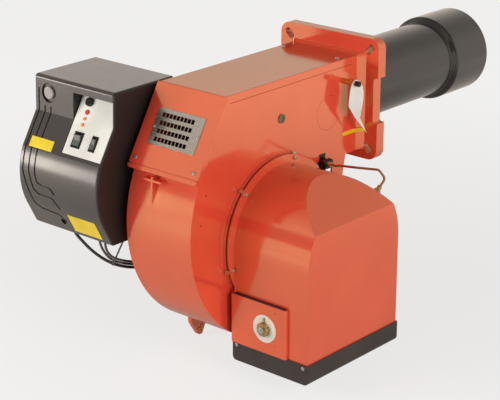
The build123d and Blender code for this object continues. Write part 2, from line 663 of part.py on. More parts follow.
def intake_box():
    shell = arch_solid(0, BOX_BOTTOM_Z) - arch_solid(SHEET, BOX_BOTTOM_Z - 10)
    shell -= rod_x(EYE_R, (BOX_LEFT - 1, BOX_LEFT + SHEET + 1), FAN_Y, FAN_Z)
    for y, z in screw_points:
        if z < FAN_Z - BOX_R / 2:
            shell -= rod_x(RING_SCREW_HEAD_R + 1.5, (BOX_LEFT - 1, BOX_LEFT + SHEET + 1), y, z)
    shell += block((BOX_RIGHT - 24, BOX_RIGHT - SHEET + 0.5), (FAN_Y - BOX_R + SHEET - 1, FAN_Y + BOX_R - SHEET + 1),
                   (DAMPER_Z + 2, DAMPER_Z + 2 + SHEET))
    shell -= rod_y(BUSH_R, DAMPER_X, (FAN_Y - BOX_R - 1, FAN_Y + BOX_R + 1), DAMPER_Z)
    for x, z in strip_screw_places:
        shell -= rod_y(M5_R, x, (FAN_Y - BOX_R - 1, FAN_Y + BOX_R + 1), z)
    return shell


def base_strip():
    """Black rubber-faced band round the foot of the intake box."""
    x = (BOX_LEFT - STRIP_THICK, BOX_RIGHT + STRIP_THICK)
    band = block(x, (STRIP_OUT_FRONT, STRIP_OUT_REAR), (STRIP_BOTTOM_Z, STRIP_TOP_Z))
    band = fillet(band.edges().filter_by(Axis.Y).sort_by(Axis.Z)[:2], 12)
    band = fillet(band.edges().filter_by(Axis.Z), 3)
    band -= block((BOX_LEFT, BOX_RIGHT), (FAN_Y - BOX_R, FAN_Y + BOX_R), (BOX_BOTTOM_Z, STRIP_TOP_Z + 1))
    band -= block((BOX_LEFT + 8, BOX_RIGHT - 8), (FAN_Y - BOX_R + 8, FAN_Y + BOX_R - 8),
                  (STRIP_BOTTOM_Z - 1, STRIP_TOP_Z + 1))
    for x_screw, z in strip_screw_places:
        band -= rod_y(M5_R + 0.1, x_screw, (STRIP_OUT_FRONT - 1, STRIP_OUT_REAR + 1), z)
    return band


def intake_guard():
    """Welded grille over the air inlet: a frame of flat bar and two layers of thinner bars."""
    x = (BOX_LEFT + SHEET, BOX_RIGHT - SHEET)
    y = (FAN_Y - BOX_R + SHEET, FAN_Y + BOX_R - SHEET)
    z = (BOX_BOTTOM_Z, BOX_BOTTOM_Z + 5)
    middle_z = z[0] + 2.5
    rim = 6
    bars = [block(x, sorted((edge, edge + turn * rim)), z) for edge, turn in ((y[0], 1), (y[1], -1))]
    inner_y = (y[0] + rim, y[1] - rim)
    bars += [block(sorted((edge, edge + turn * rim)), inner_y, z) for edge, turn in ((x[0], 1), (x[1], -1))]
    inner_x = (x[0] + rim, x[1] - rim)
    for i in range(1, GUARD_BARS + 1):
        spot = x[0] + (x[1] - x[0]) * i / (GUARD_BARS + 1)
        bars.append(block((spot - 1.5, spot + 1.5), inner_y, (middle_z, z[1])))
    for i in range(1, GUARD_TIES + 1):
        spot = y[0] + (y[1] - y[0]) * i / (GUARD_TIES + 1)
        bars.append(block(inner_x, (spot - 1.5, spot + 1.5), (z[0], middle_z)))
    return bars


def inlet_cone():
    """Spun bell mouth that leads the air into the eye of the wheel."""
    mouth = INLET_HOLE_R - 2
    profile = make_face([
        Line((HALF_WIDTH + SHEET, INLET_HOLE_R + 14), (HALF_WIDTH, INLET_HOLE_R + 14)),
        Line((HALF_WIDTH, INLET_HOLE_R + 14), (HALF_WIDTH, mouth)),
        Spline((HALF_WIDTH, mouth), (CONE_END, THROAT_R + 2), tangents=((-1, -0.6), (-1, -0.15))),
        Line((CONE_END, THROAT_R + 2), (CONE_END, THROAT_R)),
        Spline((CONE_END, THROAT_R), (HALF_WIDTH + SHEET, mouth - 1), tangents=((1, 0.15), (1, 0.6))),
        Line((HALF_WIDTH + SHEET, mouth - 1), (HALF_WIDTH + SHEET, INLET_HOLE_R + 14))])
    return Pos(0, FAN_Y, FAN_Z) * revolve(profile, Axis.X)


def dial_panel():
    """Raised cover over the damper's bearing on the front of the box."""
    front = FAN_Y - BOX_R
    x = (BOX_LEFT, PANEL_COVER_RIGHT)
    cover = block(x, (front - PANEL_PROUD, front), (STRIP_TOP_Z, PANEL_COVER_TOP))
    corner = cover.edges().filter_by(Axis.Z).sort_by(lambda e: e.center().X - e.center().Y)[-1]
    cover = fillet(corner, 6)
    cover -= block((x[0] + 2, x[1] - 2), (front - PANEL_PROUD + 2, front + 1),
                   (STRIP_TOP_Z + 2, PANEL_COVER_TOP - 2))
    return cover - rod_y(BUSH_R + 0.5, DAMPER_X, (front - 20, front + 1), DAMPER_Z)


EYE_R = RING_R - RING_WIDE
GUARD_BARS = 5
GUARD_TIES = 3
BUSH_R = 8
CONE_END = 58
THROAT_R = 96
PANEL_PROUD = 10
PANEL_COVER_RIGHT = 293
PANEL_COVER_TOP = -371
DIAL_R = 35
keep("intake_gasket", with_screw_holes(ring_x(RING_R - 3, COLLAR_IN_R, gasket_x, FAN_Y, FAN_Z),
                                       RING_SCREW_SHANK_R))
keep("intake_ring", with_screw_holes(ring_x(RING_R, EYE_R, ring_span, FAN_Y, FAN_Z), RING_SCREW_SHANK_R))
keep("ring_screws", *ring_screws())
keep("intake_box", intake_box())
keep("base_strip", base_strip())
keep("intake_guard", *intake_guard())
keep("inlet_cone", inlet_cone())
keep("dial_panel", dial_panel())

panel_front = FAN_Y - BOX_R - PANEL_PROUD
keep("dial_scale", ring_y(DIAL_R, BUSH_R + 1, DAMPER_X, (panel_front - 1.5, panel_front), DAMPER_Z))


def damper_bushes():
    """Brass bushes in the front and rear walls that carry the damper shaft."""
    solids = []
    for wall, out in ((FAN_Y - BOX_R, -1), (FAN_Y + BOX_R, 1)):
        body = sorted((wall + out * 6, wall - out * (SHEET + 3)))
        bush = rod_y(BUSH_R - 0.05, DAMPER_X, body, DAMPER_Z)
        inner = sorted((wall - out * SHEET, wall - out * (SHEET + 3)))
        bush += rod_y(BUSH_R + 4, DAMPER_X, inner, DAMPER_Z)
        solids.append(bush - rod_y(DAMPER_SHAFT_R + RUN, DAMPER_X, (body[0] - 1, body[1] + 1), DAMPER_Z))
    return solids


def damper_shaft():
    end = FAN_Y + BOX_R + 10
    return rod_y(DAMPER_SHAFT_R, DAMPER_X, (panel_front - 16, end), DAMPER_Z)


def damper_blade():
    y = (FAN_Y - BOX_R + SHEET + 4, FAN_Y + BOX_R - SHEET - 4)
    blade = block((DAMPER_X - DAMPER_HALF, DAMPER_X + DAMPER_HALF), y, (DAMPER_Z - 1.5, DAMPER_Z + 1.5))
    blade += rod_y(DAMPER_SHAFT_R + 4, DAMPER_X, y, DAMPER_Z)
    return blade - rod_y(DAMPER_SHAFT_R, DAMPER_X, (y[0] - 1, y[1] + 1), DAMPER_Z)


def damper_knob():
    """Brass indicator hub with a pointer nose, locked on the shaft by its nut."""
    y = (panel_front - 11, panel_front - 2)
    hub = rod_y(KNOB_R, DAMPER_X, y, DAMPER_Z)
    hub = chamfer(hub.edges().sort_by(Axis.Y)[0], 2)
    hub += block((DAMPER_X - 2, DAMPER_X + 2), (y[1] - 3, y[1]), (DAMPER_Z + KNOB_R - 2, DAMPER_Z + DIAL_R - 6))
    for x, z in on_circle(KNOB_R, 12):
        hub -= rod_y(1.6, DAMPER_X + x, (y[0] - 1, y[1] - 3), DAMPER_Z + z)
    nut = front_slab(Pos(DAMPER_X, DAMPER_Z) * RegularPolygon(9, 6), (y[0] - 4, y[0]))
    return hub + nut - rod_y(DAMPER_SHAFT_R, DAMPER_X, (y[0] - 10, y[1] + 1), DAMPER_Z)


KNOB_R = 17.5
keep("damper_bushes", *damper_bushes())
keep("damper_shaft", damper_shaft())
keep("damper_blade", damper_blade())
keep("damper_knob", damper_knob())


# ================================================================ fan wheel and motor
def blade_view():
    """Cross-section of one forward-curved blade, between the eye and the rim."""
    bends = [(WHEEL_EYE_R + 1.5, 0), (WHEEL_R - 12, 1.2), (WHEEL_R - 1.5, 8)]
    points = [(r * math.cos(math.radians(a)), r * math.sin(math.radians(a))) for r, a in bends]
    return trace(ThreePointArc(*points), BLADE_THICK)


def fan_wheel():
    """Back disc with its hub, front rim, and the forward-curved blades riveted between them."""
    back = rod_x(WHEEL_R, (WHEEL_BACK_X, WHEEL_BACK_X + SHEET), 0, 0)
    hub = rod_x(HUB_R, (WHEEL_BACK_X, WHEEL_BACK_X + 44), 0, 0)
    rim = ring_x(WHEEL_R, WHEEL_EYE_R, (WHEEL_FRONT_X - SHEET, WHEEL_FRONT_X), 0, 0)
    blade = side_slab(blade_view(), (WHEEL_BACK_X + SHEET, WHEEL_FRONT_X - SHEET))
    blades = [Rot(360 * i / BLADES, 0, 0) * blade for i in range(BLADES)]
    disc = back + hub - rod_x(SHAFT_R, (WHEEL_BACK_X - 1, 0), 0, 0)
    return [Pos(0, FAN_Y, FAN_Z) * piece for piece in (disc, rim, *blades)]


HUB_R = 26
MOTOR_FLANGE_X = -HALF_WIDTH
MOTOR_BODY_X = MOTOR_FLANGE_X - 27
MOTOR_END_X = MOTOR_BODY_X - MOTOR_BODY_LENGTH
COOLER_X = MOTOR_END_X - 18
keep("fan_wheel", *fan_wheel())
keep("motor_shaft", rod_x(SHAFT_R, (COOLER_X - 12, WHEEL_BACK_X + 46), FAN_Y, FAN_Z))


def cooling_fan():
    x = (COOLER_X - 10, COOLER_X + 10)
    fan = rod_x(22, x, 0, 0)
    for i in range(6):
        fan += Rot(60 * i, 0, 0) * block(x, (20, COOLER_R), (-1.5, 1.5))
    return Pos(0, FAN_Y, FAN_Z) * (fan - rod_x(SHAFT_R, (x[0] - 1, x[1] + 1), 0, 0))


def motor_flange():
    """Cast end shield that bolts the motor to the left side plate."""
    face = MOTOR_FLANGE_X
    shield = rod_x(MOTOR_FLANGE_R, (face - 12, face), FAN_Y, FAN_Z)
    shield += rod_x(MOTOR_SPIGOT_R, (face, face + PLATE - 0.5), FAN_Y, FAN_Z)
    cone = Plane(origin=(face - 12, FAN_Y, FAN_Z), z_dir=(-1, 0, 0)) * Pos(0, 0, 7.5) * Cone(100, MOTOR_R, 15)
    shield += cone
    shield -= rod_x(SHAFT_R + RUN, (MOTOR_BODY_X - 1, 0), FAN_Y, FAN_Z)
    for y, z in on_circle(MOTOR_BOLT_R, 4, 45):
        shield -= rod_x(M8_R + 0.05, (face - 13, face + 1), FAN_Y + y, FAN_Z + z)
        shield -= rod_x(M8_HEAD_R + 1, (MOTOR_BODY_X - 1, face - 12), FAN_Y + y, FAN_Z + z)
    return shield


def motor_body():
    """Aluminium stator housing with cooling fins along its length."""
    view = Circle(MOTOR_CORE_R)
    for i in range(MOTOR_FINS):
        fin = Pos((MOTOR_CORE_R + MOTOR_R) / 2 - 1, 0) * Rectangle(MOTOR_R - MOTOR_CORE_R + 2, 3)
        view += Rot(0, 0, 360 * i / MOTOR_FINS) * fin
    view -= Circle(SHAFT_R + 2)
    return side_slab(Pos(FAN_Y, FAN_Z) * view, (MOTOR_END_X, MOTOR_BODY_X))


def motor_cowl():
    """Sheet cowl over the cooling fan, with radial air slots in its end."""
    x = (MOTOR_END_X - COWL_LENGTH, MOTOR_END_X + 6)
    outer = MOTOR_R + 2.2
    cowl = rod_x(outer, x, 0, 0)
    cowl = fillet(cowl.edges().filter_by(GeomType.CIRCLE).sort_by(Axis.X)[0], 8)
    inside = rod_x(outer - 2, (x[0] + 2, x[1] + 1), 0, 0)
    cowl -= fillet(inside.edges().filter_by(GeomType.CIRCLE).sort_by(Axis.X)[0], 6)
    for i in range(12):
        slot = block((x[0] - 1, x[0] + 3), (26, 62), (-3, 3))
        cowl -= Rot(30 * i, 0, 0) * slot
    return Pos(0, FAN_Y, FAN_Z) * cowl


def motor_terminal_box():
    """Connection box on the rear of the motor, saddled on the fins."""
    y = (FAN_Y + MOTOR_R - 12, FAN_Y + MOTOR_R + 56)
    housing = block(TERMINAL_X, y, TERMINAL_Z)
    housing = fillet(housing.edges().filter_by(Axis.Z), 5)
    lid = block((TERMINAL_X[0] + 2, TERMINAL_X[1] - 2), (y[1], y[1] + 4),
                (TERMINAL_Z[0] + 2, TERMINAL_Z[1] - 2))
    housing -= rod_x(MOTOR_R + 0.1, (TERMINAL_X[0] - 1, TERMINAL_X[1] + 1), FAN_Y, FAN_Z)
    return housing + lid


def hex_bolt(reach):
    head = Pos(0, 0, M8_HEAD_HIGH / 2) * extrude(RegularPolygon(M8_HEAD_R, 6), amount=M8_HEAD_HIGH / 2, both=True)
    return head + Pos(0, 0, -reach / 2) * Cylinder(M8_R - 0.02, reach)


COOLER_R = 62
TERMINAL_X = (-262, -178)
TERMINAL_Z = (-305, -225)
keep("cooling_fan", cooling_fan())
keep("motor_flange", motor_flange())
keep("motor_body", motor_body())
keep("motor_cowl", motor_cowl())
keep("motor_terminal_box", motor_terminal_box())

M8_LONG = 16
bolt = hex_bolt(M8_LONG)
motor_bolts = [Pos(MOTOR_FLANGE_X - 12, FAN_Y + y, FAN_Z + z) * Rot(0, -90, 0) * bolt
               for y, z in on_circle(MOTOR_BOLT_R, 4, 45)]
tube_bolts = [Pos(x, -FLANGE_THICK - TUBE_FLANGE_THICK, z) * Rot(90, 0, 0) * bolt
              for x, z in on_circle(TUBE_BOLT_R, 4, 45)]
bracket_bolts = [Pos(-HALF_WIDTH - SHEET, BRACKET_BOLT_Y, z) * Rot(0, -90, 0) * bolt for z in BRACKET_BOLTS_Z]
keep("hex_bolts", *motor_bolts, *tube_bolts, *bracket_bolts)


# ================================================================ gas line and combustion head
def gas_manifold():
    """Tee with a pipe on either side, the inlet flange on the left one, the socket towards the tube."""
    left = -HALF_WIDTH - GAS_REACH
    tee = GAS_PIPE_R + 4
    right = HALF_WIDTH - PLATE - 0.2
    outside = rod_x(GAS_PIPE_R, (left, right), PORT_Y, PORT_Z)
    lance_bore = rod_y(LANCE_R + RUN, 0, (PORT_Y, SOCKET_END + 1), 0)
    pipe = outside - rod_x(GAS_PIPE_R - GAS_PIPE_WALL, (left - 1, right - 6), PORT_Y, PORT_Z) - lance_bore
    socket = rod_y(GAS_PIPE_R, 0, (PORT_Y, SOCKET_END), 0) - outside - lance_bore
    flange = rod_x(GAS_FLANGE_R, (left, left + GAS_FLANGE_THICK), PORT_Y, PORT_Z) - outside
    for y, z in on_circle(GAS_BOLT_R, 4, 45):
        flange -= rod_x(M12_TAP_R, (left - 1, left + GAS_FLANGE_THICK + 1), PORT_Y + y, PORT_Z + z)
    across = [(middle - GAS_PIPE_R, middle + GAS_PIPE_R) for middle in (PORT_Y, PORT_Z)]
    lengths = [pipe & block(span, *across) for span in ((left, -tee), (-tee, tee), (tee, right))]
    return *lengths, socket, flange


def gas_lance():
    """Gas pipe, its perforated nozzle head, the electrode clamp and the three centring fins."""
    y = (LANCE_START, NOZZLE_START)
    pipe = ring_y(LANCE_R, LANCE_R - LANCE_WALL, 0, y, 0)
    nozzle = rod_y(NOZZLE_R, 0, (NOZZLE_START, NOZZLE_END), 0)
    nozzle -= rod_y(LANCE_R - LANCE_WALL, 0, (NOZZLE_START - 1, NOZZLE_END - 6), 0)
    for x, z in on_circle(1, 8):
        hole = Pos(0, NOZZLE_START + 16, 0) * Rot(0, math.degrees(math.atan2(z, x)), 0) * Rot(0, 90, 0)
        nozzle -= hole * Pos(0, 0, NOZZLE_R / 2 + 10) * Cylinder(4, NOZZLE_R)
    clamp = ring_y(CLAMP_R, LANCE_R, 0, CLAMP_Y, 0)
    for x, z in electrode_places():
        clamp -= rod_y(CERAMIC_R + RUN, x, (CLAMP_Y[0] - 1, CLAMP_Y[1] + 1), z)
    fin = block((LANCE_R - 2, TUBE_R - TUBE_WALL - 0.3), (180, 200), (-2, 2)) - rod_y(LANCE_R, 0, (170, 210), 0)
    return [pipe, nozzle, clamp, *[Rot(0, 120 * i + 30, 0) * fin for i in range(3)]]


def electrode_places():
    return [(ELECTRODE_R * math.cos(math.radians(a)), ELECTRODE_R * math.sin(math.radians(a)))
            for a in (70, 110, 250)]


def diffuser_disc():
    """Air diffuser with swirl slots that the gas nozzle ends in."""
    disc = rod_y(DIFFUSER_R, 0, (NOZZLE_END, NOZZLE_END + SHEET), 0)
    disc += ring_y(DIFFUSER_R, DIFFUSER_R - 2, 0, (NOZZLE_END, NOZZLE_END + 14), 0)
    disc -= rod_y(18, 0, (NOZZLE_END - 1, NOZZLE_END + 5), 0)
    for i in range(12):
        slot = Pos(66, 0, 0) * Rot(0, 20, 0) * block((-16, 16), (NOZZLE_END - 1, NOZZLE_END + 5), (-2.5, 2.5))
        disc -= Rot(0, 30 * i, 0) * slot
    for x, z in electrode_places():
        disc -= rod_y(CERAMIC_R + 1, x, (NOZZLE_END - 1, NOZZLE_END + 5), z)
    return disc


def electrodes():
    """Two ignition electrodes and the ionisation probe in their ceramics."""
    solids = []
    for x, z in electrode_places():
        rod = rod_y(CERAMIC_R, x, (CLAMP_Y[0] - 30, NOZZLE_END - 14), z)
        rod += rod_y(1.5, x, (NOZZLE_END - 15, NOZZLE_END + 26), z)
        solids.append(rod + rod_y(1.5, x, (CLAMP_Y[0] - 44, CLAMP_Y[0] - 29), z))
    return solids


GAS_REACH = 45
SOCKET_END = -75
LANCE_START = -118
NOZZLE_START = 430
NOZZLE_END = 470
NOZZLE_R = 42
CLAMP_R = 58
CLAMP_Y = (396, 404)
CERAMIC_R = 5
ELECTRODE_R = 50
DIFFUSER_R = 90
keep("gas_manifold", *gas_manifold())
keep("gas_lance", *gas_lance())
keep("diffuser_disc", diffuser_disc())
keep("electrodes", *electrodes())


# ================================================================ control box
def box_view():
    """Side view of the moulded control box."""
    knee = (FOLD_Y - 95 * PANEL_COS, FOLD_Z - 95 * PANEL_SIN)
    top = (FOLD_Y + 3, CB_TOP_Z)
    heel = (-722, -223)
    toe = (-697, CB_BOTTOM_Z)
    view = make_face([
        Line((CB_BACK_Y, CB_TOP_Z), top), Line(top, (FOLD_Y, FOLD_Z)), Line((FOLD_Y, FOLD_Z), knee),
        ThreePointArc(knee, (-747, -130), heel), Line(heel, toe), Line(toe, (CB_BACK_Y, CB_BOTTOM_Z)),
        Line((CB_BACK_Y, CB_BOTTOM_Z), (CB_BACK_Y, CB_TOP_Z))])
    corners = [v for v in view.vertices() if (Vector(v) - Vector(*top)).length < 1
               or (Vector(v) - Vector(*toe)).length < 1]
    return fillet(corners, CB_ROUND + 3)


def notch_space(grow):
    """Everything in front of the control panel's seat, inside the notch."""
    x = (NOTCH_LEFT - grow, PANEL_RIGHT + 2 + grow)
    length = 120
    wedge = panel_plane * Pos((x[0] + x[1]) / 2, 0, length / 2 - PANEL_THICK - grow) \
        * Box(x[1] - x[0], 2 * length, length)
    z = (PANEL_BOTTOM_Z - 1.5 - grow, NOTCH_TOP_Z + grow)
    return wedge & block((x[0] - 1, x[1] + 1), (-800, -600), z)


def groove_space():
    """Three parallel grooves down the left of the front, turning right at their ends."""
    routes = [
        ([(-385, 77), (-385, -120), (-362, -205), (-340, -216), (-284, -219), (-268, -238)], 12),
        ([(-364, 36), (-364, -118), (-351, -163), (-337, -172), (-288, -174), (-270, -200)], 10),
        ([(-343, 36), (-343, -118), (-336, -141), (-322, -145), (-292, -146), (-277, -162)], 8)]
    solids = []
    for points, radius in routes:
        line = FilletPolyline(*points, radius=radius)
        solids.append(front_slab(trace(line, GROOVE_WIDE), (-760, -640)))
    return solids


def control_box_cover():
    outer = side_slab(box_view(), (CB_LEFT, CB_RIGHT))
    ends = [e for e in outer.edges() if min(abs(e.center().X - CB_LEFT), abs(e.center().X - CB_RIGHT)) < 0.01]
    rounded = [e for e in ends if e.center().Y < CB_BACK_Y - 1 and e.center().Z > CB_BOTTOM_Z + 1]
    outer = fillet(rounded, CB_ROUND)
    inner = side_slab(offset(box_view(), amount=-CB_WALL), (CB_LEFT + CB_WALL, CB_RIGHT - CB_WALL))
    inner += block((CB_LEFT + CB_WALL, CB_RIGHT - CB_WALL), (CB_BACK_Y - CB_WALL - 1, CB_BACK_Y + 1),
                   (CB_BOTTOM_Z + CB_WALL, CB_TOP_Z - CB_WALL))
    inner -= notch_space(CB_WALL - 0.5)
    inner -= rod_y(RECESS_R + 3, BUTTON_X, (FOLD_Y - 5, FOLD_Y + RECESS_DEEP + CB_WALL), BUTTON_Z)
    skin = side_slab(offset(box_view(), amount=-GROOVE_DEEP), (CB_LEFT + 1, CB_RIGHT - 1))
    cover = outer - inner - notch_space(0)
    for groove in groove_space():
        cover -= groove - skin
    cover -= rod_y(RECESS_R, BUTTON_X, (FOLD_Y - 5, FOLD_Y + RECESS_DEEP), BUTTON_Z)
    cover -= rod_y(BUTTON_R + 0.4, BUTTON_X, (FOLD_Y - 5, FOLD_Y + 20), BUTTON_Z)
    for solid in panel_holes(0.1):
        cover -= solid
    for x, y in gland_places():
        cover -= rod_z(GLAND_THREAD_R + 0.1, x, y, (CB_BOTTOM_Z - 1, CB_BOTTOM_Z + CB_WALL + 1))
    pocket, post, hole = screw_boss()
    return cover + post - pocket - hole


def screw_boss():
    """Recess, boss and hole of the cover's fixing screw, at the low end of the grooves."""
    x, z = BOX_SCREW_X, BOX_SCREW_Z
    pocket = rod_y(8, x, (-760, BOX_SCREW_SEAT), z)
    post = rod_y(11, x, (BOX_SCREW_SEAT - 3, CB_BACK_Y - CB_BASE - 0.1), z)
    post = post & side_slab(offset(box_view(), amount=-0.5), (CB_LEFT, CB_RIGHT))
    return pocket, post, rod_y(M5_R, x, (-760, CB_BACK_Y), z)


def gland_places():
    """Cable exits in the control box's floor: the thick cable, then the thinner leads."""
    return [(-374, -601), (-246, -608), (-270, -608)]


def on_panel(x, z):
    """Place on the panel's face for a point at this x and height."""
    return panel_plane * Pos(x, (z - FOLD_Z) / PANEL_SIN, 0)


FRAMES = {"large": (-227, -19.5, 30, 41), "small": (-172, -19, 20, 40)}
LAMPS = {"red": [(-227.3, 41.5, 6.5)], "amber": [(-227.5, 26.8, 4.5), (-227.5, 13.6, 4.5)]}
FUSE_X, FUSE_Z, FUSE_R = -229.4, 63.2, 11
FRAME_RIM = 4
FRAME_DEEP = 18
CB_ROUND = 6
BOX_SCREW_X, BOX_SCREW_Z, BOX_SCREW_SEAT = -281, -240, -700


def panel_holes(gap):
    """Bodies of what passes through the control panel, grown by a gap."""
    solids = []
    for x, z, wide, tall in FRAMES.values():
        body = Box(wide - 4 + 2 * gap, tall - 4 + 2 * gap, 2 * FRAME_DEEP)
        solids.append(on_panel(x, z) * body)
    for lamps in LAMPS.values():
        for x, z, radius in lamps:
            solids.append(on_panel(x, z) * Cylinder(radius - 1 + gap, 2 * FRAME_DEEP))
    solids.append(on_panel(FUSE_X, FUSE_Z) * Cylinder(FUSE_R - 3 + gap, 2 * FRAME_DEEP))
    return solids


def control_panel():
    length = (NOTCH_TOP_Z - 1 - PANEL_BOTTOM_Z) / PANEL_SIN
    middle = ((NOTCH_TOP_Z - 1 + PANEL_BOTTOM_Z) / 2 - FOLD_Z) / PANEL_SIN
    panel = panel_plane * Pos((PANEL_LEFT + PANEL_RIGHT) / 2, middle, -PANEL_THICK / 2) \
        * Box(PANEL_RIGHT - PANEL_LEFT, length, PANEL_THICK)
    for solid in panel_holes(0.1):
        panel -= solid
    return panel


def rocker_frame(wide, tall):
    """Snap-in switch frame: a rim on the panel and a hollow body behind it."""
    rim = Pos(0, 0, 1.25) * Box(wide, tall, 2.5)
    rim = chamfer(rim.faces().sort_by(Axis.Z)[-1].edges(), 0.8)
    body = Pos(0, 0, -FRAME_DEEP / 2) * Box(wide - 4, tall - 4, FRAME_DEEP)
    space = Pos(0, 0, 0) * Box(wide - 2 * FRAME_RIM, tall - 2 * FRAME_RIM, 2 * FRAME_DEEP + 2)
    pin = Pos(0, 0, -PIVOT_DEEP) * Rot(0, 90, 0) * Cylinder(PIVOT_R + RUN, wide - 5)
    return rim + body - space - pin


def rocker(wide, tall):
    """Rocker with a shallow V face, tilted to its rest position on two side pins."""
    half = tall / 2 - FRAME_RIM - 0.4
    x = wide - 2 * FRAME_RIM - 0.6
    high = PIVOT_DEEP + ROCKER_PROUD
    side = half * math.tan(math.radians(ROCKER_TILT))
    reach = math.sqrt(half ** 2 - (high - 0) ** 2 / 4)
    view = make_face(Polyline((-reach, high + side * 0.4), (0, high - 2), (reach, high + side * 0.4),
                              (reach * 0.8, -4), (-reach * 0.8, -4), close=True))
    view = view & Circle(half)
    plane = Plane(origin=(-x / 2, 0, -PIVOT_DEEP), x_dir=(0, 1, 0), z_dir=(1, 0, 0))
    body = extrude(plane * view, amount=x)
    body += Pos(0, 0, -PIVOT_DEEP) * Rot(0, 90, 0) * Cylinder(PIVOT_R, wide - 5.5)
    return Pos(0, 0, -PIVOT_DEEP) * Rot(ROCKER_TILT, 0, 0) * Pos(0, 0, PIVOT_DEEP) * body


def lamp(x, z, radius):
    lens = Pos(0, 0, 1.5) * Cylinder(radius, 3)
    lens = fillet(lens.edges().sort_by(Axis.Z)[-1], radius * 0.3)
    return on_panel(x, z) * (lens + Pos(0, 0, -4) * Cylinder(radius - 1, 8))


def fuse_holder():
    cap = Pos(0, 0, 4.5) * Cylinder(FUSE_R, 9)
    cap = chamfer(cap.edges().sort_by(Axis.Z)[-1], 1.5)
    for x, y in on_circle(FUSE_R, 10):
        cap -= Pos(x, y, 5.5) * Cylinder(1.4, 8)
    cap -= Pos(0, 0, 9) * Box(2 * FUSE_R, 2, 2)
    return on_panel(FUSE_X, FUSE_Z) * (cap + Pos(0, 0, -8) * Cylinder(FUSE_R - 3, 16))


ROCKER_TILT = 9
ROCKER_PROUD = 5
keep("control_box_cover", control_box_cover())
keep("control_panel", control_panel())
keep("rocker_frames", *[on_panel(x, z) * rocker_frame(wide, tall) for x, z, wide, tall in FRAMES.values()])
for size, (x, z, wide, tall) in FRAMES.items():
    keep(size + "_rocker", on_panel(x, z) * rocker(wide, tall))
keep("red_lamp", *[lamp(*place) for place in LAMPS["red"]])
keep("amber_lamps", *[lamp(*place) for place in LAMPS["amber"]])
keep("fuse_holder", fuse_holder())

box_screw = pan_screw(M5_R - 0.02, M5_HEAD_R + 1, M5_HEAD_HIGH, 40)
keep("box_screw", Pos(BOX_SCREW_X, BOX_SCREW_SEAT, BOX_SCREW_Z) * Rot(90, 0, 0) * box_screw)


def box_base():
    """Folded steel base of the control box, with the flange that bolts it to the duct."""
    front = CB_BACK_Y - CB_BASE
    inset = CB_WALL + 0.3
    plate = block((CB_LEFT + inset, CB_RIGHT - inset), (front, CB_BACK_Y),
                  (CB_BOTTOM_Z + inset, CB_TOP_Z - inset))
    arm_z = (BRACKET_BOLTS_Z[0] - 20, BRACKET_BOLTS_Z[-1] + 20)
    arm = block((CB_RIGHT - 20, -HALF_WIDTH), (CB_BACK_Y, CB_BACK_Y + CB_BASE), arm_z)
    foot = block((-HALF_WIDTH - SHEET, -HALF_WIDTH), (CB_BACK_Y, BRACKET_BOLT_Y + 14), arm_z)
    base = plate + arm + foot
    for z in BRACKET_BOLTS_Z:
        base -= rod_x(M8_R + 0.05, (-HALF_WIDTH - SHEET - 1, -HALF_WIDTH + 1), BRACKET_BOLT_Y, z)
    return base


def flame_controller():
    """Sequence controller behind the reset button, with the button's guide bore."""
    back = CB_BACK_Y - CB_BASE
    case = block((BUTTON_X - 40, BUTTON_X + 44), (CONTROLLER_FRONT, back), (BUTTON_Z - 55, BUTTON_Z + 33))
    case = fillet(case.edges().filter_by(Axis.Y), 4)
    return case - rod_y(STEM_R + RUN, BUTTON_X, (CONTROLLER_FRONT - 1, CONTROLLER_FRONT + 45), BUTTON_Z)


def reset_button():
    """Lens of the reset button on its stem; it travels inwards."""
    lens = rod_y(BUTTON_R, BUTTON_X, (FOLD_Y - 1, FOLD_Y + 15), BUTTON_Z)
    lens = fillet(lens.edges().sort_by(Axis.Y)[0], 2)
    return lens + rod_y(STEM_R, BUTTON_X, (FOLD_Y + 15, CONTROLLER_FRONT + 30), BUTTON_Z)


STEM_R = 6
CONTROLLER_FRONT = -620
keep("box_base", box_base())
keep("flame_controller", flame_controller())
keep("reset_button", reset_button())

back_plate = CB_BACK_Y - CB_BASE
transformer = block((-245, -150), (back_plate - 85, back_plate), (-140, -60))
transformer = fillet(transformer.edges().filter_by(Axis.Y), 6)
terminals = [rod_y(6, x, (back_plate - 97, back_plate - 85), -100) for x in (-215, -180)]
keep("ignition_transformer", transformer + terminals[0] + terminals[1])


# ================================================================ cables
def gland(bore):
    """Cable gland hanging below the XY plane, with its thread above it."""
    body = extrude(RegularPolygon(GLAND_R, 6), amount=-GLAND_HIGH * 0.45)
    body += Pos(0, 0, -GLAND_HIGH * 0.7) * Cylinder(GLAND_R * 0.8, GLAND_HIGH * 0.6)
    body += Pos(0, 0, 4) * Cylinder(GLAND_THREAD_R, 8)
    return body - Pos(0, 0, 0) * Cylinder(bore, 60)


def cord(points, radius):
    """A tube along straight runs joined by arcs as large as the runs allow."""
    vectors = [Vector(*p) for p in points]
    radii = []
    for a, b, c in zip(vectors, vectors[1:], vectors[2:]):
        turn = math.radians((b - a).get_angle(c - b))
        radii.append(0.45 * min((b - a).length, (c - b).length) / math.tan(turn / 2))
    path = FilletPolyline(*points, radius=radii)
    tube = sweep(Plane(origin=path @ 0, z_dir=path % 0) * Circle(radius), path=path)
    ideal = math.pi * radius ** 2 * path.length
    print(f"cord length {path.length:.0f} mm, volume {tube.volume / ideal:.3f} of ideal, "
          f"radii {[round(r) for r in radii]}")
    return tube


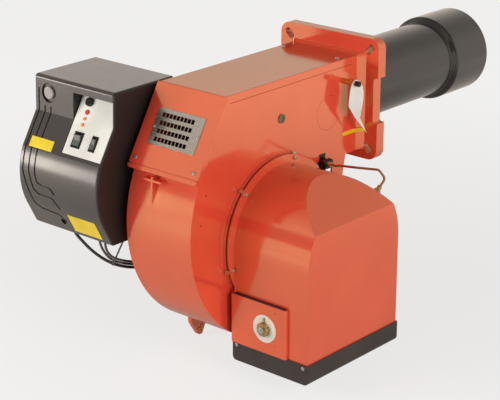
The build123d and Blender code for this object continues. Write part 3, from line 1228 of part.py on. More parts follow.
glands = gland_places()
terminal_gland = ((TERMINAL_X[0] + TERMINAL_X[1]) / 2, FAN_Y + MOTOR_R + 30, TERMINAL_Z[0])
terminal_half = gland(POWER_CABLE_R - 1) - Pos(0, 0, 10) * Box(30, 30, 20)
keep("cable_glands",
     Pos(*glands[0], CB_BOTTOM_Z) * gland(POWER_CABLE_R - 1),
     *[Pos(*place, CB_BOTTOM_Z) * gland(LEAD_R - 1) for place in glands[1:]],
     Pos(*terminal_gland) * terminal_half,
     *[Pos(-HALF_WIDTH, y, z) * Rot(0, 90, 0) * gland(LEAD_R - 1) for y, z in LEAD_ENTRIES])
bottom = CB_BOTTOM_Z - GLAND_HIGH
entry_x = -HALF_WIDTH - GLAND_HIGH
power_route = [
    (*glands[0], bottom), (*glands[0], bottom - 20), (-361, -601.5, -324), (-338, -602, -337),
    (-310, -604, -350), (-277, -604, -362), (-250, -598, -372), (-229, -580, -384), (-211, -545, -395),
    (-201, -500, -402), (-197, -450, -402), (-199, -398, -398), (-204, -347, -392), (-211, -300, -387),
    (-217, -264, -367), (-220, -251, -338), (*terminal_gland[:2], terminal_gland[2] - GLAND_HIGH)]
ignition_route = [
    (*glands[1], bottom), (*glands[1], bottom - 20), (-250, -605, -323), (-252, -600, -341),
    (-244, -592.8, -358.8), (-225.8, -577.2, -369.2), (-207, -542, -379.5), (-192, -498, -385.5),
    (-176, -452, -384), (-162, -405, -379), (-150, -358, -368), (-142, -312, -348), (-137, -272, -318),
    (-136, -243, -280), (-138, -223, -238), (-143, -211, -196), (-151, -208, -156), (-157.5, -211, -119),
    (-159.5, -216, -93), (-153, -219, -72), (-138, *LEAD_ENTRIES[1]), (entry_x, *LEAD_ENTRIES[1])]
probe_route = [
    (*glands[2], bottom), (*glands[2], bottom - 20), (-268, -606, -324), (-262, -601.5, -345),
    (-246.2, -594.7, -365.5), (-228, -579.1, -375.9), (-209.5, -544, -386.5), (-197, -500, -393),
    (-184, -452, -392), (-171, -404, -387), (-160, -358, -377), (-152, -314, -358), (-148, -277, -329),
    (-147, -250, -291), (-150, -233, -247), (-155, -225, -202), (-160, -225, -159), (-162, -233, -122),
    (-164, -243, -95), (-156.5, -248, -73), (-139, *LEAD_ENTRIES[0]), (entry_x, *LEAD_ENTRIES[0])]
keep("power_cable", cord(power_route, POWER_CABLE_R))
keep("ignition_cable", cord(ignition_route, LEAD_R))
keep("probe_cable", cord(probe_route, LEAD_R))


def cable_tie():
    """Tie round the three cables, hung from the control box's floor by its long tail."""
    runs = [(power_route[6:8], POWER_CABLE_R), (probe_route[4:6], LEAD_R), (ignition_route[4:6], LEAD_R)]
    middles = [(Vector(*a) + Vector(*b)) * 0.5 for (a, b), radius in runs]
    along = Vector(*power_route[7]) - Vector(*power_route[6])
    plane = Plane(origin=middles[0], x_dir=(0, 0, 1), z_dir=along)
    circles = []
    for middle, (run, radius) in zip(middles, runs):
        spot = plane.to_local_coords(middle)
        circles.append(Pos(spot.X, spot.Y) * Circle(radius + TIE_GAP))
    inside = make_hull([edge for circle in circles for edge in circle.edges()])
    band = offset(inside, amount=TIE_THICK) - inside
    ring = extrude(plane * band, amount=TIE_WIDE / 2, both=True)
    low = middles[2] + plane.x_dir * (LEAD_R + TIE_GAP + TIE_THICK / 2)
    high = Vector(TAIL_X, low.Y + 6, CB_BOTTOM_Z)
    tail_plane = Plane(origin=(low + high) * 0.5, x_dir=along, z_dir=high - low)
    tail = tail_plane * Box(TIE_WIDE, TIE_THICK, (high - low).length)
    floor = block((CB_LEFT, CB_RIGHT), (-700, -500), (CB_BOTTOM_Z, CB_BOTTOM_Z + 20))
    return ring + (tail - floor)


TIE_GAP = 0.25
TIE_THICK = 1.4
TIE_WIDE = 4.5
TAIL_X = -190
keep("cable_tie", cable_tie())


# ================================================================ air-pressure line
def pressure_switch():
    """Small round switch on a bracket plate at the corner of the duct."""
    body = rod_y(SWITCH_R, SWITCH_X, SWITCH_Y, SWITCH_Z)
    body = chamfer(body.edges().filter_by(GeomType.CIRCLE), 1.5)
    body += rod_y(5, SWITCH_X, (SWITCH_Y[0] - 8, SWITCH_Y[0]), SWITCH_Z)
    plate = block((HALF_WIDTH, HALF_WIDTH + 2), (SWITCH_Y[0] + 6, SWITCH_Y[1] - 4), (SWITCH_Z, SWITCH_Z + 24))
    return body + plate


SWITCH_R = 13
SWITCH_LONG = 32
SWITCH_ANGLE = 35.2         # direction of the switch's near corner from the fan's axis
SWITCH_GAP = 4.5            # between that corner and the ring
SWITCH_X = HALF_WIDTH + SWITCH_R
switch_near = FAN_Y + (RING_R + SWITCH_GAP) * math.cos(math.radians(SWITCH_ANGLE))
SWITCH_Y = (switch_near, switch_near + SWITCH_LONG)
SWITCH_Z = FAN_Z + (RING_R + SWITCH_GAP) * math.sin(math.radians(SWITCH_ANGLE)) + SWITCH_R
COPPER_R = 3
NUT_LONG = 8
keep("pressure_switch", pressure_switch())

# The tapping leaves the arched top of the intake box square to its surface.
TAPPING_X = 300
TAPPING_ANGLE = 35
TAPPING_HIGH = 26
arch_dir = Vector(0, math.cos(math.radians(TAPPING_ANGLE)), math.sin(math.radians(TAPPING_ANGLE)))
tapping_foot = Vector(TAPPING_X, FAN_Y, FAN_Z) + arch_dir * BOX_R
tapping_end = tapping_foot + arch_dir * TAPPING_HIGH
tapping_plane = Plane(origin=tapping_foot, z_dir=arch_dir)
tapping = tapping_plane * Pos(0, 0, TAPPING_HIGH / 2 - 2) * Cylinder(6, TAPPING_HIGH + 4)
tapping += tapping_plane * Pos(0, 0, 6) * extrude(RegularPolygon(9, 6), amount=9)
tapping -= arch_solid(0, BOX_BOTTOM_Z)
nut_end = Vector(SWITCH_X + SWITCH_R + NUT_LONG, SWITCH_Y[0] + 12, SWITCH_Z + 4)
nut = side_slab(Pos(nut_end.Y, nut_end.Z) * RegularPolygon(6.5, 6), (SWITCH_X + SWITCH_R - 2, nut_end.X))
nut -= rod_y(SWITCH_R, SWITCH_X, SWITCH_Y, SWITCH_Z)
keep("brass_fittings", nut, tapping, test_nipple())

pipe_bend = tapping_end + arch_dir * 26
pipe_path = FilletPolyline(nut_end, nut_end + (15, 0, 0), nut_end + (35, -10, 8), nut_end + (86, -12, 15),
                           tapping_end + (-15, 14, 36), pipe_bend, tapping_end, radius=11)
pipe_section = Plane(origin=pipe_path @ 0, z_dir=pipe_path % 0) * Circle(COPPER_R)
keep("copper_pipe", sweep(pipe_section, path=pipe_path))

os.makedirs("parts", exist_ok=True)
for name, solids in nodes.items():
    export_step(Compound(children=solids), f"parts/{name}.step")
print(len(nodes), "nodes,", sum(len(solids) for solids in nodes.values()), "solids")
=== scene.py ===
# %% [markdown]
# An industrial gas burner, dressed for a studio picture.  The solid model already has every
# piece in its place, so this lesson is about finishes: gloss paint, moulded plastic, plated
# steel, rubber, and the small marks that a solid model leaves out.
# %% Load the burner
import math

import bpy
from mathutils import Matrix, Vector


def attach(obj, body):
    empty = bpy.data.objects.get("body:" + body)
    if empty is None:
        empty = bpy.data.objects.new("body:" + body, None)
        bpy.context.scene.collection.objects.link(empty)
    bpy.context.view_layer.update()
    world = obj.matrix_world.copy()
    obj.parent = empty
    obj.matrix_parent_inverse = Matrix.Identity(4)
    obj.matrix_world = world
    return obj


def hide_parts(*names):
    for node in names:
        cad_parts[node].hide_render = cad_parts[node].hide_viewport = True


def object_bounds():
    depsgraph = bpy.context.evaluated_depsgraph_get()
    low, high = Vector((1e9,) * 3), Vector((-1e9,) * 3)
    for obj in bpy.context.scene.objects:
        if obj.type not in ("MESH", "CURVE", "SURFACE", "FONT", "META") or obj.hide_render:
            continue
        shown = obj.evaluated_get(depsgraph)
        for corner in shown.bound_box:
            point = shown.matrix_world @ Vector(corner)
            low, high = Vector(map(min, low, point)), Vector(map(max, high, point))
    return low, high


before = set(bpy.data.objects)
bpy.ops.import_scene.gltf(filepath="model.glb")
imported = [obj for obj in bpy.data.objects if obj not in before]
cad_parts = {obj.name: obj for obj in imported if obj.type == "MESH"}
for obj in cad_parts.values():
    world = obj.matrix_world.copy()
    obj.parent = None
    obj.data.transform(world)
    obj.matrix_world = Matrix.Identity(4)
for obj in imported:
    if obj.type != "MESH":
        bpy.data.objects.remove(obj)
solid_box = [list(corner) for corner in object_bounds()]
print("solid model from", [round(v, 3) for v in solid_box[0]], "to", [round(v, 3) for v in solid_box[1]])

# %% [markdown]
# The camera looks down on the front and the air-intake side from about four metres.  A long
# lens keeps the verticals nearly parallel, as in a product picture; a short one would bulge
# the box that is nearest.
# %% Camera
AZIMUTH, ELEVATION = math.radians(41.1), math.radians(19.9)
camera = bpy.data.objects.new("camera", bpy.data.cameras.new("camera"))
camera.location = (2.6240, -3.3465, 1.2261)
camera.rotation_euler = (math.pi / 2 - ELEVATION, 0, AZIMUTH)
camera.data.lens = 121.8
camera.data.sensor_width = 36
camera.data.clip_end = 40
bpy.context.scene.collection.objects.link(camera)
bpy.context.scene.camera = camera
print("camera", round(camera.location.length, 2), "m from the flange")

# %% [markdown]
# Shader maths reads best as plain arithmetic.  A `Wire` wraps one socket and adds a Math node
# for each sign, and a `Bench` is one material with a single method that places any other node.
# %% Wires and benches
class Wire:
    """One output socket that takes part in Python arithmetic."""

    def __init__(self, bench, socket):
        self.bench = bench
        self.socket = socket

    def math(self, operation, other=0.0, turned=False):
        pair = [other, self] if turned else [self, other]
        return self.bench.node("ShaderNodeMath", {"operation": operation}, pair)

    def __add__(self, other):
        return self.math("ADD", other)

    __radd__ = __add__

    def __sub__(self, other):
        return self.math("SUBTRACT", other)

    def __rsub__(self, other):
        return self.math("SUBTRACT", other, turned=True)

    def __mul__(self, other):
        return self.math("MULTIPLY", other)

    __rmul__ = __mul__

    def __truediv__(self, other):
        return self.math("DIVIDE", other)

    def __gt__(self, other):
        return self.math("GREATER_THAN", other)

    def __lt__(self, other):
        return self.math("LESS_THAN", other)

    def between(self, low, high):
        """0 below `low`, 1 above `high`, and a smooth slope between them."""
        return self.bench.node("ShaderNodeMapRange", {"interpolation_type": "SMOOTHSTEP"},
                               {"Value": self, "From Min": low, "From Max": high})

    def out(self, name):
        """Another output of the same node."""
        return Wire(self.bench, self.socket.node.outputs[name])


class Bench:
    """A material under construction."""

    def __init__(self, name):
        self.material = bpy.data.materials.new(name)
        self.material.use_nodes = True
        self.tree = self.material.node_tree
        self.tree.nodes.clear()

    def node(self, kind, settings=None, sockets=(), out=0):
        made = self.tree.nodes.new(kind)
        for key, value in (settings or {}).items():
            if key == "stops":
                ramp = made.color_ramp.elements
                while len(ramp) < len(value):
                    ramp.new(0.5)
                for stop, (place, tint) in zip(ramp, value):
                    stop.position, stop.color = place, (*tint, 1)
            else:
                setattr(made, key, value)
        pairs = sockets.items() if isinstance(sockets, dict) else enumerate(sockets)
        for key, value in pairs:
            if isinstance(value, Wire):
                self.tree.links.new(value.socket, made.inputs[key])
            else:
                made.inputs[key].default_value = value
        return Wire(self, made.outputs[out]) if made.outputs else None

    def mix(self, amount, first, second):
        """Blend two colours."""
        rgba = [(*c, 1) if isinstance(c, tuple) else c for c in (first, second)]
        return self.node("ShaderNodeMix", {"data_type": "RGBA"}, {0: amount, 6: rgba[0], 7: rgba[1]}, out=2)

    def place(self):
        """Object coordinates, which are the burner's own frame in metres."""
        return self.node("ShaderNodeTexCoord", out="Object")

    def xyz(self):
        split = self.node("ShaderNodeSeparateXYZ", sockets=[self.place()])
        return split.out("X"), split.out("Y"), split.out("Z")

    def noise(self, scale, detail=2.0, rough=0.5, stretch=(1, 1, 1)):
        where = self.node("ShaderNodeMapping", sockets={"Vector": self.place(), "Scale": stretch})
        return self.node("ShaderNodeTexNoise",
                         sockets={"Vector": where, "Scale": scale, "Detail": detail, "Roughness": rough})

    def edge(self, radius):
        """1 on a rounded edge of that radius and 0 on the flats."""
        soft = self.node("ShaderNodeBevel", {"samples": 4}, {"Radius": radius})
        flat = self.node("ShaderNodeNewGeometry", out="Normal")
        cosine = self.node("ShaderNodeVectorMath", {"operation": "DOT_PRODUCT"}, [soft, flat], out="Value")
        return (1 - cosine).between(0.0, 0.25)

    def finish(self, colour, rough, bump=None, depth=0.0005, round_off=0.0008, **sockets):
        """Close the material: a Principled shader with rounded edges and an optional bump."""
        normal = self.node("ShaderNodeBevel", {"samples": 4}, {"Radius": round_off})
        if bump is not None:
            normal = self.node("ShaderNodeBump", sockets={"Strength": 1.0, "Distance": depth,
                                                          "Height": bump, "Normal": normal})
        tint = (*colour, 1) if isinstance(colour, tuple) else colour
        shader = self.node("ShaderNodeBsdfPrincipled",
                           sockets={"Base Color": tint, "Roughness": rough, "Normal": normal, **sockets})
        self.node("ShaderNodeOutputMaterial", sockets=[shader])
        return self.material


def linear(red, green, blue):
    """A colour as a paint chart gives it, 0 to 255, turned into light."""
    return tuple(v / 12.92 if v <= 0.04045 else ((v + 0.055) / 1.055) ** 2.4
                 for v in (red / 255, green / 255, blue / 255))


# %% [markdown]
# Stove-enamelled sheet: a solid red coat under a clear glossy film.  The clear film is the
# Principled shader's own coat, which gives two highlights, a broad one and a sharp one, just
# as thick paint does.  A faint orange peel in the bump breaks the reflections up.
# %% Red enamel
RED, RED_DEEP = (228, 78, 58), (212, 66, 48)


def red_enamel(name, plug=False):
    """The coat; a dark plug may sit in it, ahead of the reset switch."""
    bench = Bench(name)
    peel = bench.noise(180, 2.0, 0.4) + 0.6 * bench.noise(46, 2.0, 0.5)
    cloud = bench.noise(2.6, 3.0, 0.5)
    colour = bench.mix(cloud.between(0.35, 0.7), linear(*RED_DEEP), linear(*RED))
    worn = bench.edge(0.0012) * bench.noise(45, 4.0, 0.6).between(0.52, 0.66)
    colour = bench.mix(worn * 0.5, colour, linear(128, 44, 30))
    rough = 0.07 + 0.10 * bench.noise(9, 3.0, 0.6)
    if plug:
        x, y, z = bench.xyz()
        colour = bench.mix(y < -0.3, colour, linear(34, 26, 24))
    return bench.finish(colour, rough, peel, 0.00005, 0.0011,
                        **{"IOR": 2.45, "Specular Tint": (0.92, 1.0, 0.50, 1), "Coat Weight": 0.12,
                           "Coat Roughness": 0.03})


red = red_enamel("red_enamel")
print("red enamel has", len(red.node_tree.nodes), "nodes")


# %% [markdown]
# The other finishes are short recipes on the same bench.  Each has its own grain: the black
# tube is heat-proof paint, the control box is moulded with a satin skin, plated steel shows
# fine rolling lines, and rubber is dull with a little dust.
# %% Paints and plastics
def black_enamel():
    bench = Bench("black_enamel")
    dust = bench.noise(9, 4.0, 0.6).between(0.45, 0.75)
    colour = bench.mix(dust, linear(17, 15, 15), linear(34, 30, 29))
    return bench.finish(colour, 0.20 + 0.10 * bench.noise(30, 3.0), bench.noise(300, 2.0), 0.00003, 0.0010,
                        **{"Coat Weight": 0.6, "Coat Roughness": 0.12, "Coat IOR": 1.6})


def moulded_black():
    """Satin moulding; the side towards the housing lies in its shade, so that side gets painted shade, a near-black
    colour, and less shine.
    """
    bench = Bench("moulded_black")
    facing = bench.node("ShaderNodeNewGeometry", out="Normal")
    painted_shade_side = bench.node("ShaderNodeSeparateXYZ", sockets=[facing]).between(0.4, 0.8)
    grain = bench.noise(900, 2.0, 0.5)
    colour = bench.mix(bench.noise(6, 3.0).between(0.4, 0.7), linear(30, 24, 22), linear(43, 36, 33))
    # painted shade: the +X side towards the housing is darkened towards near black
    colour = bench.mix(painted_shade_side, colour, linear(18, 14, 13))
    rough = 0.27 + 0.08 * bench.noise(25, 3.0) + 0.25 * painted_shade_side
    return bench.finish(colour, rough, grain, 0.00004, 0.0012,
                        **{"IOR": 1.65, "Coat Weight": 0.75 - 0.75 * painted_shade_side, "Coat Roughness": 0.18,
                           "Coat IOR": 1.65})


def plain_plastic(name, tone, rough=0.35, grain=600, ends=None):
    """A moulded colour; `ends` is (axis, place, other tone) for a piece whose far end differs."""
    bench = Bench(name)
    deep = tuple(v * 0.82 for v in linear(*tone))
    colour = bench.mix(bench.noise(12, 3.0).between(0.35, 0.7), deep, linear(*tone))
    if ends:
        axis, place, other = ends
        along = bench.xyz()[axis]
        colour = bench.mix(along.between(place - 0.003, place + 0.003), colour, linear(*other))
    return bench.finish(colour, rough + 0.08 * bench.noise(40, 2.0), bench.noise(grain, 2.0), 0.00003, 0.0006)


def rubber(name, tone):
    bench = Bench(name)
    bloom = bench.noise(60, 5.0, 0.7).between(0.5, 0.8)
    dusty = tuple(v + 0.02 for v in linear(*tone))
    colour = bench.mix(bloom, linear(*tone), dusty)
    return bench.finish(colour, 0.55 + 0.15 * bench.noise(80, 3.0), bench.noise(700, 3.0), 0.00008, 0.0008)


# %% Metals
def rolled_steel(name, tone=(196, 190, 180), rough=0.28, lines=(1, 1, 40)):
    bench = Bench(name)
    strokes = bench.noise(35, 3.0, 0.6, lines)
    deep = tuple(v * 0.72 for v in linear(*tone))
    colour = bench.mix(strokes.between(0.3, 0.7), deep, linear(*tone))
    return bench.finish(colour, rough + 0.14 * strokes, strokes, 0.00004, 0.0005, Metallic=1.0)


def galvanised():
    bench = Bench("galvanised")
    where = bench.node("ShaderNodeMapping", sockets={"Vector": bench.place(), "Scale": (1, 1, 1)})
    spangle = bench.node("ShaderNodeTexVoronoi", sockets={"Vector": where, "Scale": 90.0}, out="Color")
    tone = bench.node("ShaderNodeSeparateColor", sockets=[spangle])
    colour = bench.mix(tone, linear(122, 124, 126), linear(168, 170, 172))
    return bench.finish(colour, 0.34 + 0.16 * tone, None, 0, 0.0005, Metallic=0.9)


def cast_alloy(name, tone=(170, 168, 165)):
    bench = Bench(name)
    skin = bench.noise(260, 4.0, 0.65)
    colour = bench.mix(skin.between(0.3, 0.7), tuple(v * 0.7 for v in linear(*tone)), linear(*tone))
    return bench.finish(colour, 0.42 + 0.12 * skin, skin, 0.00025, 0.0008, Metallic=0.85)


def turned(name, tone, rough=0.24, nut=None):
    """Bar turned on a lathe; in front of the plane y = `nut` the piece is plated steel."""
    bench = Bench(name)
    rings = bench.noise(150, 2.0, 0.5)
    colour = bench.mix(rings.between(0.35, 0.65), tuple(v * 0.75 for v in linear(*tone)), linear(*tone))
    if nut is not None:
        x, y, z = bench.xyz()
        colour = bench.mix(y < nut, colour, linear(226, 224, 220))
    return bench.finish(colour, rough + 0.1 * rings, rings, 0.00003, 0.0004, Metallic=1.0)


def lens(name, tone, glow=0.0):
    bench = Bench(name)
    ribs = bench.noise(500, 1.0)
    return bench.finish(linear(*tone), 0.14 + 0.05 * ribs, ribs, 0.00002, 0.0006,
                        **{"Coat Weight": 0.8, "Emission Color": (*linear(*tone), 1), "Emission Strength": glow})


white_sheet = plain_plastic("white_panel", (236, 232, 222), 0.30, 500)
finishes = {
    "red_enamel": (red, "fan_housing right_side_plate left_side_plate top_cover front_cover mounting_flange "
                        "gas_manifold intake_box intake_ring dial_panel"),
    "black_enamel": (black_enamel(), "blast_tube motor_flange motor_cowl motor_terminal_box"),
    "motor_alloy": (cast_alloy("motor_alloy", (52, 54, 58)), "motor_body"),
    "dark_band": (plain_plastic("dark_band", (58, 52, 49), 0.34, 260), "base_strip"),
    "moulded_black": (moulded_black(), "control_box_cover"),
    "hard_black": (plain_plastic("hard_black", (24, 23, 23), 0.28), "cable_glands pressure_switch rocker_frames "
                                                                  "fuse_holder"),
    "rocker_grey": (plain_plastic("rocker_grey", (92, 98, 90), 0.30), "large_rocker small_rocker"),
    "white_panel": (white_sheet, "control_panel"),
    "bright_steel": (rolled_steel("bright_steel", (228, 224, 216), 0.20), "vent_plate vent_plate_screws cover_screws ring_screws "
                                                   "hex_bolts box_screw damper_shaft motor_shaft intake_guard"),
    "galvanised": (galvanised(), "box_base inlet_cone damper_blade diffuser_disc gas_lance"),
    "cast_alloy": (cast_alloy("cast_alloy"), "fan_wheel"),
    "brass": (turned("brass", (214, 180, 120)), "damper_bushes brass_fittings"),
    "knob_brass": (turned("knob_brass", (222, 190, 130), nut=-0.5582), "damper_knob"),
    "copper": (turned("copper", (200, 150, 110), 0.3), "copper_pipe"),
    "dial_white": (plain_plastic("dial_white", (228, 220, 204), 0.4), "dial_scale"),
    "rubber_black": (rubber("rubber_black", (20, 19, 19)), "intake_gasket"),
    "orange_cap": (plain_plastic("orange_cap", (214, 110, 40), ends=(0, 0.14, (26, 24, 23))), "nipple_caps"),
    "plug_enamel": (red_enamel("plug_enamel", plug=True), "blanking_plugs"),
    "card": (plain_plastic("card", (226, 222, 214), 0.6, 300), "paper_tag"),
    "yellow_strap": (plain_plastic("yellow_strap", (232, 186, 26), 0.4), "tag_strap"),
    "red_lens": (lens("red_lens", (190, 40, 26)), "red_lamp"),
    "amber_lens": (lens("amber_lens", (226, 120, 30)), "amber_lamps"),
    "button_lens": (lens("button_lens", (158, 150, 144)), "reset_button"),
    "nylon_grey": (plain_plastic("nylon_grey", (92, 92, 94), 0.5), "cooling_fan flame_controller "
                                                                  "ignition_transformer"),
    "ceramic": (plain_plastic("ceramic", (226, 222, 210), 0.2), "electrodes"),
    "tie_grey": (plain_plastic("tie_grey", (104, 98, 94), 0.4), "cable_tie"),
}
for material, names in finishes.values():
    for name in names.split():
        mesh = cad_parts[name].data
        mesh.materials.clear()
        mesh.materials.append(material)
undressed = [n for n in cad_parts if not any(n in names.split() for m, names in finishes.values())]
print("nodes that still need a finish:", undressed)

# %% [markdown]
# The three cables hang from glands under the control box.  A cable is a smooth line with a
# round section, so each is one NURBS curve with a bevel.  Its control points are the corners
# of the route that an electrician would lay it in.
# %% Cables
ENTRY_X = -0.117


def cable(name, node, points, radius, material):
    """A lead through `points`; it hides the solid model's plain one."""
    curve = bpy.data.curves.new(name, "CURVE")
    curve.dimensions = "3D"
    line = curve.splines.new("NURBS")
    line.points.add(len(points) - 1)
    for spot, point in zip(line.points, points):
        spot.co = (*point, 1)
    line.order_u = 3
    line.use_endpoint_u = True
    line.resolution_u = 8
    curve.bevel_depth = radius
    curve.bevel_resolution = 5
    curve.use_fill_caps = True
    curve.materials.append(material)
    piece = bpy.data.objects.new(name, curve)
    bpy.context.scene.collection.objects.link(piece)
    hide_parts(node)
    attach(piece, "burner")
    return piece


power_points = [
    (-0.374, -0.601, -0.283), (-0.374, -0.601, -0.303), (-0.361, -0.6015, -0.324), (-0.338, -0.602, -0.337),
    (-0.310, -0.604, -0.350), (-0.277, -0.604, -0.362), (-0.250, -0.598, -0.372), (-0.229, -0.580, -0.384),
    (-0.211, -0.545, -0.395), (-0.201, -0.500, -0.402), (-0.197, -0.450, -0.402), (-0.199, -0.398, -0.398),
    (-0.204, -0.347, -0.392), (-0.211, -0.300, -0.387), (-0.217, -0.264, -0.367), (-0.220, -0.251, -0.338),
    (-0.220, -0.251, -0.317)]
ignition_points = [
    (-0.246, -0.608, -0.283), (-0.246, -0.608, -0.303), (-0.250, -0.605, -0.323), (-0.252, -0.600, -0.341),
    (-0.244, -0.5928, -0.3588), (-0.2258, -0.5772, -0.3692), (-0.207, -0.542, -0.3795),
    (-0.192, -0.498, -0.3855), (-0.176, -0.452, -0.384), (-0.162, -0.405, -0.379), (-0.150, -0.358, -0.368),
    (-0.142, -0.312, -0.348), (-0.137, -0.272, -0.318), (-0.136, -0.243, -0.280), (-0.138, -0.223, -0.238),
    (-0.143, -0.211, -0.196), (-0.151, -0.208, -0.156), (-0.1575, -0.211, -0.119), (-0.1595, -0.216, -0.093),
    (-0.153, -0.219, -0.072), (-0.138, -0.220, -0.060), (ENTRY_X, -0.220, -0.060)]
probe_points = [
    (-0.270, -0.608, -0.283), (-0.270, -0.608, -0.303), (-0.268, -0.606, -0.324), (-0.262, -0.6015, -0.345),
    (-0.2462, -0.5947, -0.3655), (-0.228, -0.5791, -0.3759), (-0.2095, -0.544, -0.3865),
    (-0.197, -0.500, -0.393), (-0.184, -0.452, -0.392), (-0.171, -0.404, -0.387), (-0.160, -0.358, -0.377),
    (-0.152, -0.314, -0.358), (-0.148, -0.277, -0.329), (-0.147, -0.250, -0.291), (-0.150, -0.233, -0.247),
    (-0.155, -0.225, -0.202), (-0.160, -0.225, -0.159), (-0.162, -0.233, -0.122), (-0.164, -0.243, -0.095),
    (-0.1565, -0.248, -0.073), (-0.139, -0.250, -0.060), (ENTRY_X, -0.250, -0.060)]
BEYOND_TIE = (1, -0.572, (24, 21, 21))
sheath = plain_plastic("cable_black", (52, 47, 45), 0.36, 700, BEYOND_TIE)
grey_sheath = plain_plastic("cable_grey", (104, 96, 92), 0.4, 700, BEYOND_TIE)
for name, node, points, radius, length, material in (
        ("power_lead", "power_cable", power_points, 0.004, 0.576, sheath),
        ("ignition_lead", "ignition_cable", ignition_points, 0.0032, 0.745, grey_sheath),
        ("probe_lead", "probe_cable", probe_points, 0.0032, 0.761, grey_sheath)):
    piece = cable(name, node, points, radius, material)
    print(name, length, "m")

# %% [markdown]
# Thin bare plates sit on the control box; each is laid on the solid model by casting rays at it,
# so that it follows the moulded face.  Low dark-red studs at listed spots stand for weld dimples
# and pilot holes: their dark colour is painted shade, the shade that falls in those hollows.
# %% Plates and marks
def new_piece(name, points, faces, material):
    mesh = bpy.data.meshes.new(name)
    mesh.from_pydata(points, [], faces)
    mesh.materials.append(material)
    piece = bpy.data.objects.new(name, mesh)
    bpy.context.scene.collection.objects.link(piece)
    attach(piece, "burner")
    return piece


def meet(node, point, aim):
    """Where a line along `aim` first meets a node, and the face's direction there."""
    hit, spot, normal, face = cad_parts[node].ray_cast(point - aim * 0.15, aim)
    return (spot, normal) if hit else (point, -aim)


def plate(name, node, corner, across, up, aim, material, thick=0.0006, steps=14):
    """A bare plate laid on a node: from `corner` it spans the `across` and `up` vectors."""
    corner, across, up, aim = (Vector(v) for v in (corner, across, up, aim))
    aim.normalize()
    low, high = [], []
    for j in range(steps + 1):
        for i in range(steps + 1):
            spot, normal = meet(node, corner + across * i / steps + up * j / steps, aim)
            low.append(spot - aim * 0.0001)
            high.append(spot - aim * thick)
    wide = steps + 1
    top = [(a, a + 1, a + 1 + wide, a + wide) for j in range(steps) for a in range(j * wide, j * wide + steps)]
    shift = len(low)
    rim = [*range(steps), *range(steps, wide * wide - 1, wide), *range(wide * wide - 1, wide * steps, -1),
           *range(wide * steps, 0, -wide)]
    faces = [tuple(v + shift for v in face) for face in top] + [face[::-1] for face in top]
    faces += [(a, b, b + shift, a + shift) for a, b in zip(rim, rim[1:] + rim[:1])]
    return new_piece(name, low + high, faces, material)


def studs(name, spots, normal, radius, height, material, sides=16):
    """Low round marks, all facing the same way."""
    turn = Vector(normal).to_track_quat("Z", "Y").to_matrix()
    ring = [(math.cos(math.tau * k / sides), math.sin(math.tau * k / sides)) for k in range(sides)]
    points, faces = [], []
    for spot in spots:
        first = len(points)
        for scale, level in ((1.0, -0.0002), (1.0, height * 0.5), (0.7, height)):
            points += [Vector(spot) + turn @ Vector((c * radius * scale, d * radius * scale, level)) for c, d in ring]
        for level in (0, 1):
            start = first + level * sides
            faces += [(start + k, start + (k + 1) % sides, start + sides + (k + 1) % sides, start + sides + k)
                      for k in range(sides)]
        faces.append(tuple(first + 2 * sides + k for k in range(sides)))
        faces.append(tuple(first + k for k in reversed(range(sides))))
    return new_piece(name, points, faces, material)


yellow = plain_plastic("yellow_plate", (242, 208, 44), 0.34, 500)
plate("yellow_blank", "control_box_cover", (-0.376, -0.66, -0.059), (0.079, 0, 0), (0, 0, 0.023),
      (0, 1, 0), yellow, steps=1)
plate("lower_yellow_blank", "control_box_cover", (-0.250, -0.703, -0.259), (0.095, 0, 0), (0, -0.025, 0.0495),
      (0, 0.892, 0.451), yellow)
# painted shade: this dark red is the shade in the weld dimples, the pilot holes and the dial panel's top gap
shade = plain_plastic("shade", (58, 30, 26), 0.5, 500)
studs("weld_dimple_shade", [(0.105, -0.615, -0.1085), (0.105, -0.634, -0.178)], (1, 0, 0), 0.0022, 0.0005,
      shade)
studs("pilot_hole_shade", [(0.2610, -0.547, -0.385), (0.2610, -0.547, -0.470)], (0, -1, 0), 0.0014, 0.0003,
      shade)


def bar(name, low, high, material):
    """A plain block from its low to its high corner."""
    points = [(x, y, z) for z in (low[2], high[2]) for y in (low[1], high[1]) for x in (low[0], high[0])]
    faces = [(0, 2, 3, 1), (4, 5, 7, 6), (0, 1, 5, 4), (2, 6, 7, 3), (0, 4, 6, 2), (1, 3, 7, 5)]
    return new_piece(name, points, faces, material)


# painted shadow: a thin dark bar stands for the shadow in the gap along the dial panel's top edge
bar("panel_gap_shadow", (0.130, -0.5455, -0.3708), (0.288, -0.5368, -0.3685), shade)

# %% [markdown]
# A pale floor and a pale surround, as in a photographer's cove.  Gloss paint shows what stands
# round it, so the mirrored room is drawn apart from the one that lights the burner: the floor's
# glow is turned down close by as painted shade, both where the camera sees it and where the paint
# mirrors it, and the walls have a bright strip with a dark gap above it.
# %% Floor
WARM = (1.0, 0.90, 0.80)


def rays(bench):
    """1 for rays that the camera sends out, and 1 for those that leave a shiny face."""
    paths = bench.node("ShaderNodeLightPath")
    return paths.out("Is Camera Ray"), paths.out("Is Glossy Ray")


floor_z = solid_box[0][2] - 0.002
floor_mesh = bpy.data.meshes.new("floor")
floor_mesh.from_pydata([(-9, -9, floor_z), (9, -9, floor_z), (9, 9, floor_z), (-9, 9, floor_z)], [], [(0, 1, 2, 3)])
floor = bpy.data.objects.new("floor", floor_mesh)
bpy.context.scene.collection.objects.link(floor)
bench = Bench("floor")
camera_ray, glossy_ray = rays(bench)
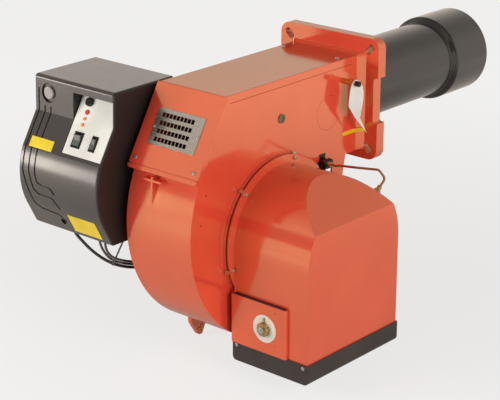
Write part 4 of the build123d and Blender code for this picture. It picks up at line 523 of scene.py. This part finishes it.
# painted shade: the floor's glow is lowest within 0.5 m of the burner and rises to full at 2.4 m
painted_shade_fade = bench.node("ShaderNodeVectorMath", {"operation": "LENGTH"}, [bench.place()], out="Value").between(0.5, 2.4)
matt = bench.node("ShaderNodeBsdfDiffuse", sockets={"Color": (0.78, 0.77, 0.75, 1)})
shine = camera_ray * (0.93 + 0.12 * painted_shade_fade) + glossy_ray * (0.36 + 0.56 * painted_shade_fade)
pale = bench.mix(glossy_ray, (1.0, 0.995, 0.99), WARM)
white = bench.node("ShaderNodeEmission", sockets={"Color": pale, "Strength": shine})
both = bench.node("ShaderNodeMixShader", sockets=[camera_ray * 0.78 + glossy_ray * 0.90, matt, white])
bench.node("ShaderNodeOutputMaterial", sockets=[both])
floor_mesh.materials.append(bench.material)
print("floor at", round(floor_z, 3))


# %% Surround
sky = bpy.data.worlds.new("surround")
bpy.context.scene.world = sky
sky.use_nodes = True
sky.node_tree.nodes.clear()
dome = Bench.__new__(Bench)
dome.tree = sky.node_tree
camera_ray, glossy_ray = rays(dome)
split = dome.node("ShaderNodeSeparateXYZ", sockets=[dome.node("ShaderNodeTexCoord", out="Generated")])
height, ahead = split.out("Z"), (0 - split.out("Y")).between(0.1, 0.4)
gap = height.between(0.11, 0.19) * (1 - height.between(0.36, 0.46)) * ahead
mirrored = (0.34 + 0.56 * (1 - height.between(0.30, 0.80))) * (1 - 0.85 * gap)
lighting = 0.06 + 0.72 * (1 - height.between(0.20, 0.70))
strength = lighting + (mirrored - lighting) * glossy_ray
tint = dome.mix(glossy_ray, (1.0, 0.955, 0.905), WARM)
glow = dome.node("ShaderNodeBackground", sockets={"Color": tint, "Strength": strength})
dome.node("ShaderNodeOutputWorld", sockets=[glow])


# %% Lamps
def soft_box(name, spot, aim, size, watts, mirror=False):
    """A rectangular lamp that either lights the burner or only shows in its shiny faces."""
    lamp = bpy.data.lights.new(name, "AREA")
    lamp.shape = "RECTANGLE"
    lamp.size, lamp.size_y = size
    lamp.energy = watts
    lamp.color = WARM if mirror else (1.0, 1.0, 1.0)
    holder = bpy.data.objects.new(name, lamp)
    holder.location = spot
    holder.rotation_euler = (Vector(aim) - Vector(spot)).to_track_quat("-Z", "Y").to_euler()
    holder.visible_glossy = mirror
    holder.visible_diffuse = not mirror
    bpy.context.scene.collection.objects.link(holder)


soft_box("key", (-1.6, -3.1, 0.8), (-0.1, -0.6, -0.1), (2.0, 0.9), 68)
soft_box("side", (2.9, -1.0, 0.8), (0.1, -0.3, -0.2), (1.6, 1.2), 56)
soft_box("strip", (-3.5, -3.0, -0.05), (-0.2, -0.7, -0.1), (1.7, 0.9), 36, mirror=True)

# %% Colour view
bpy.context.scene.view_settings.view_transform = "Standard"
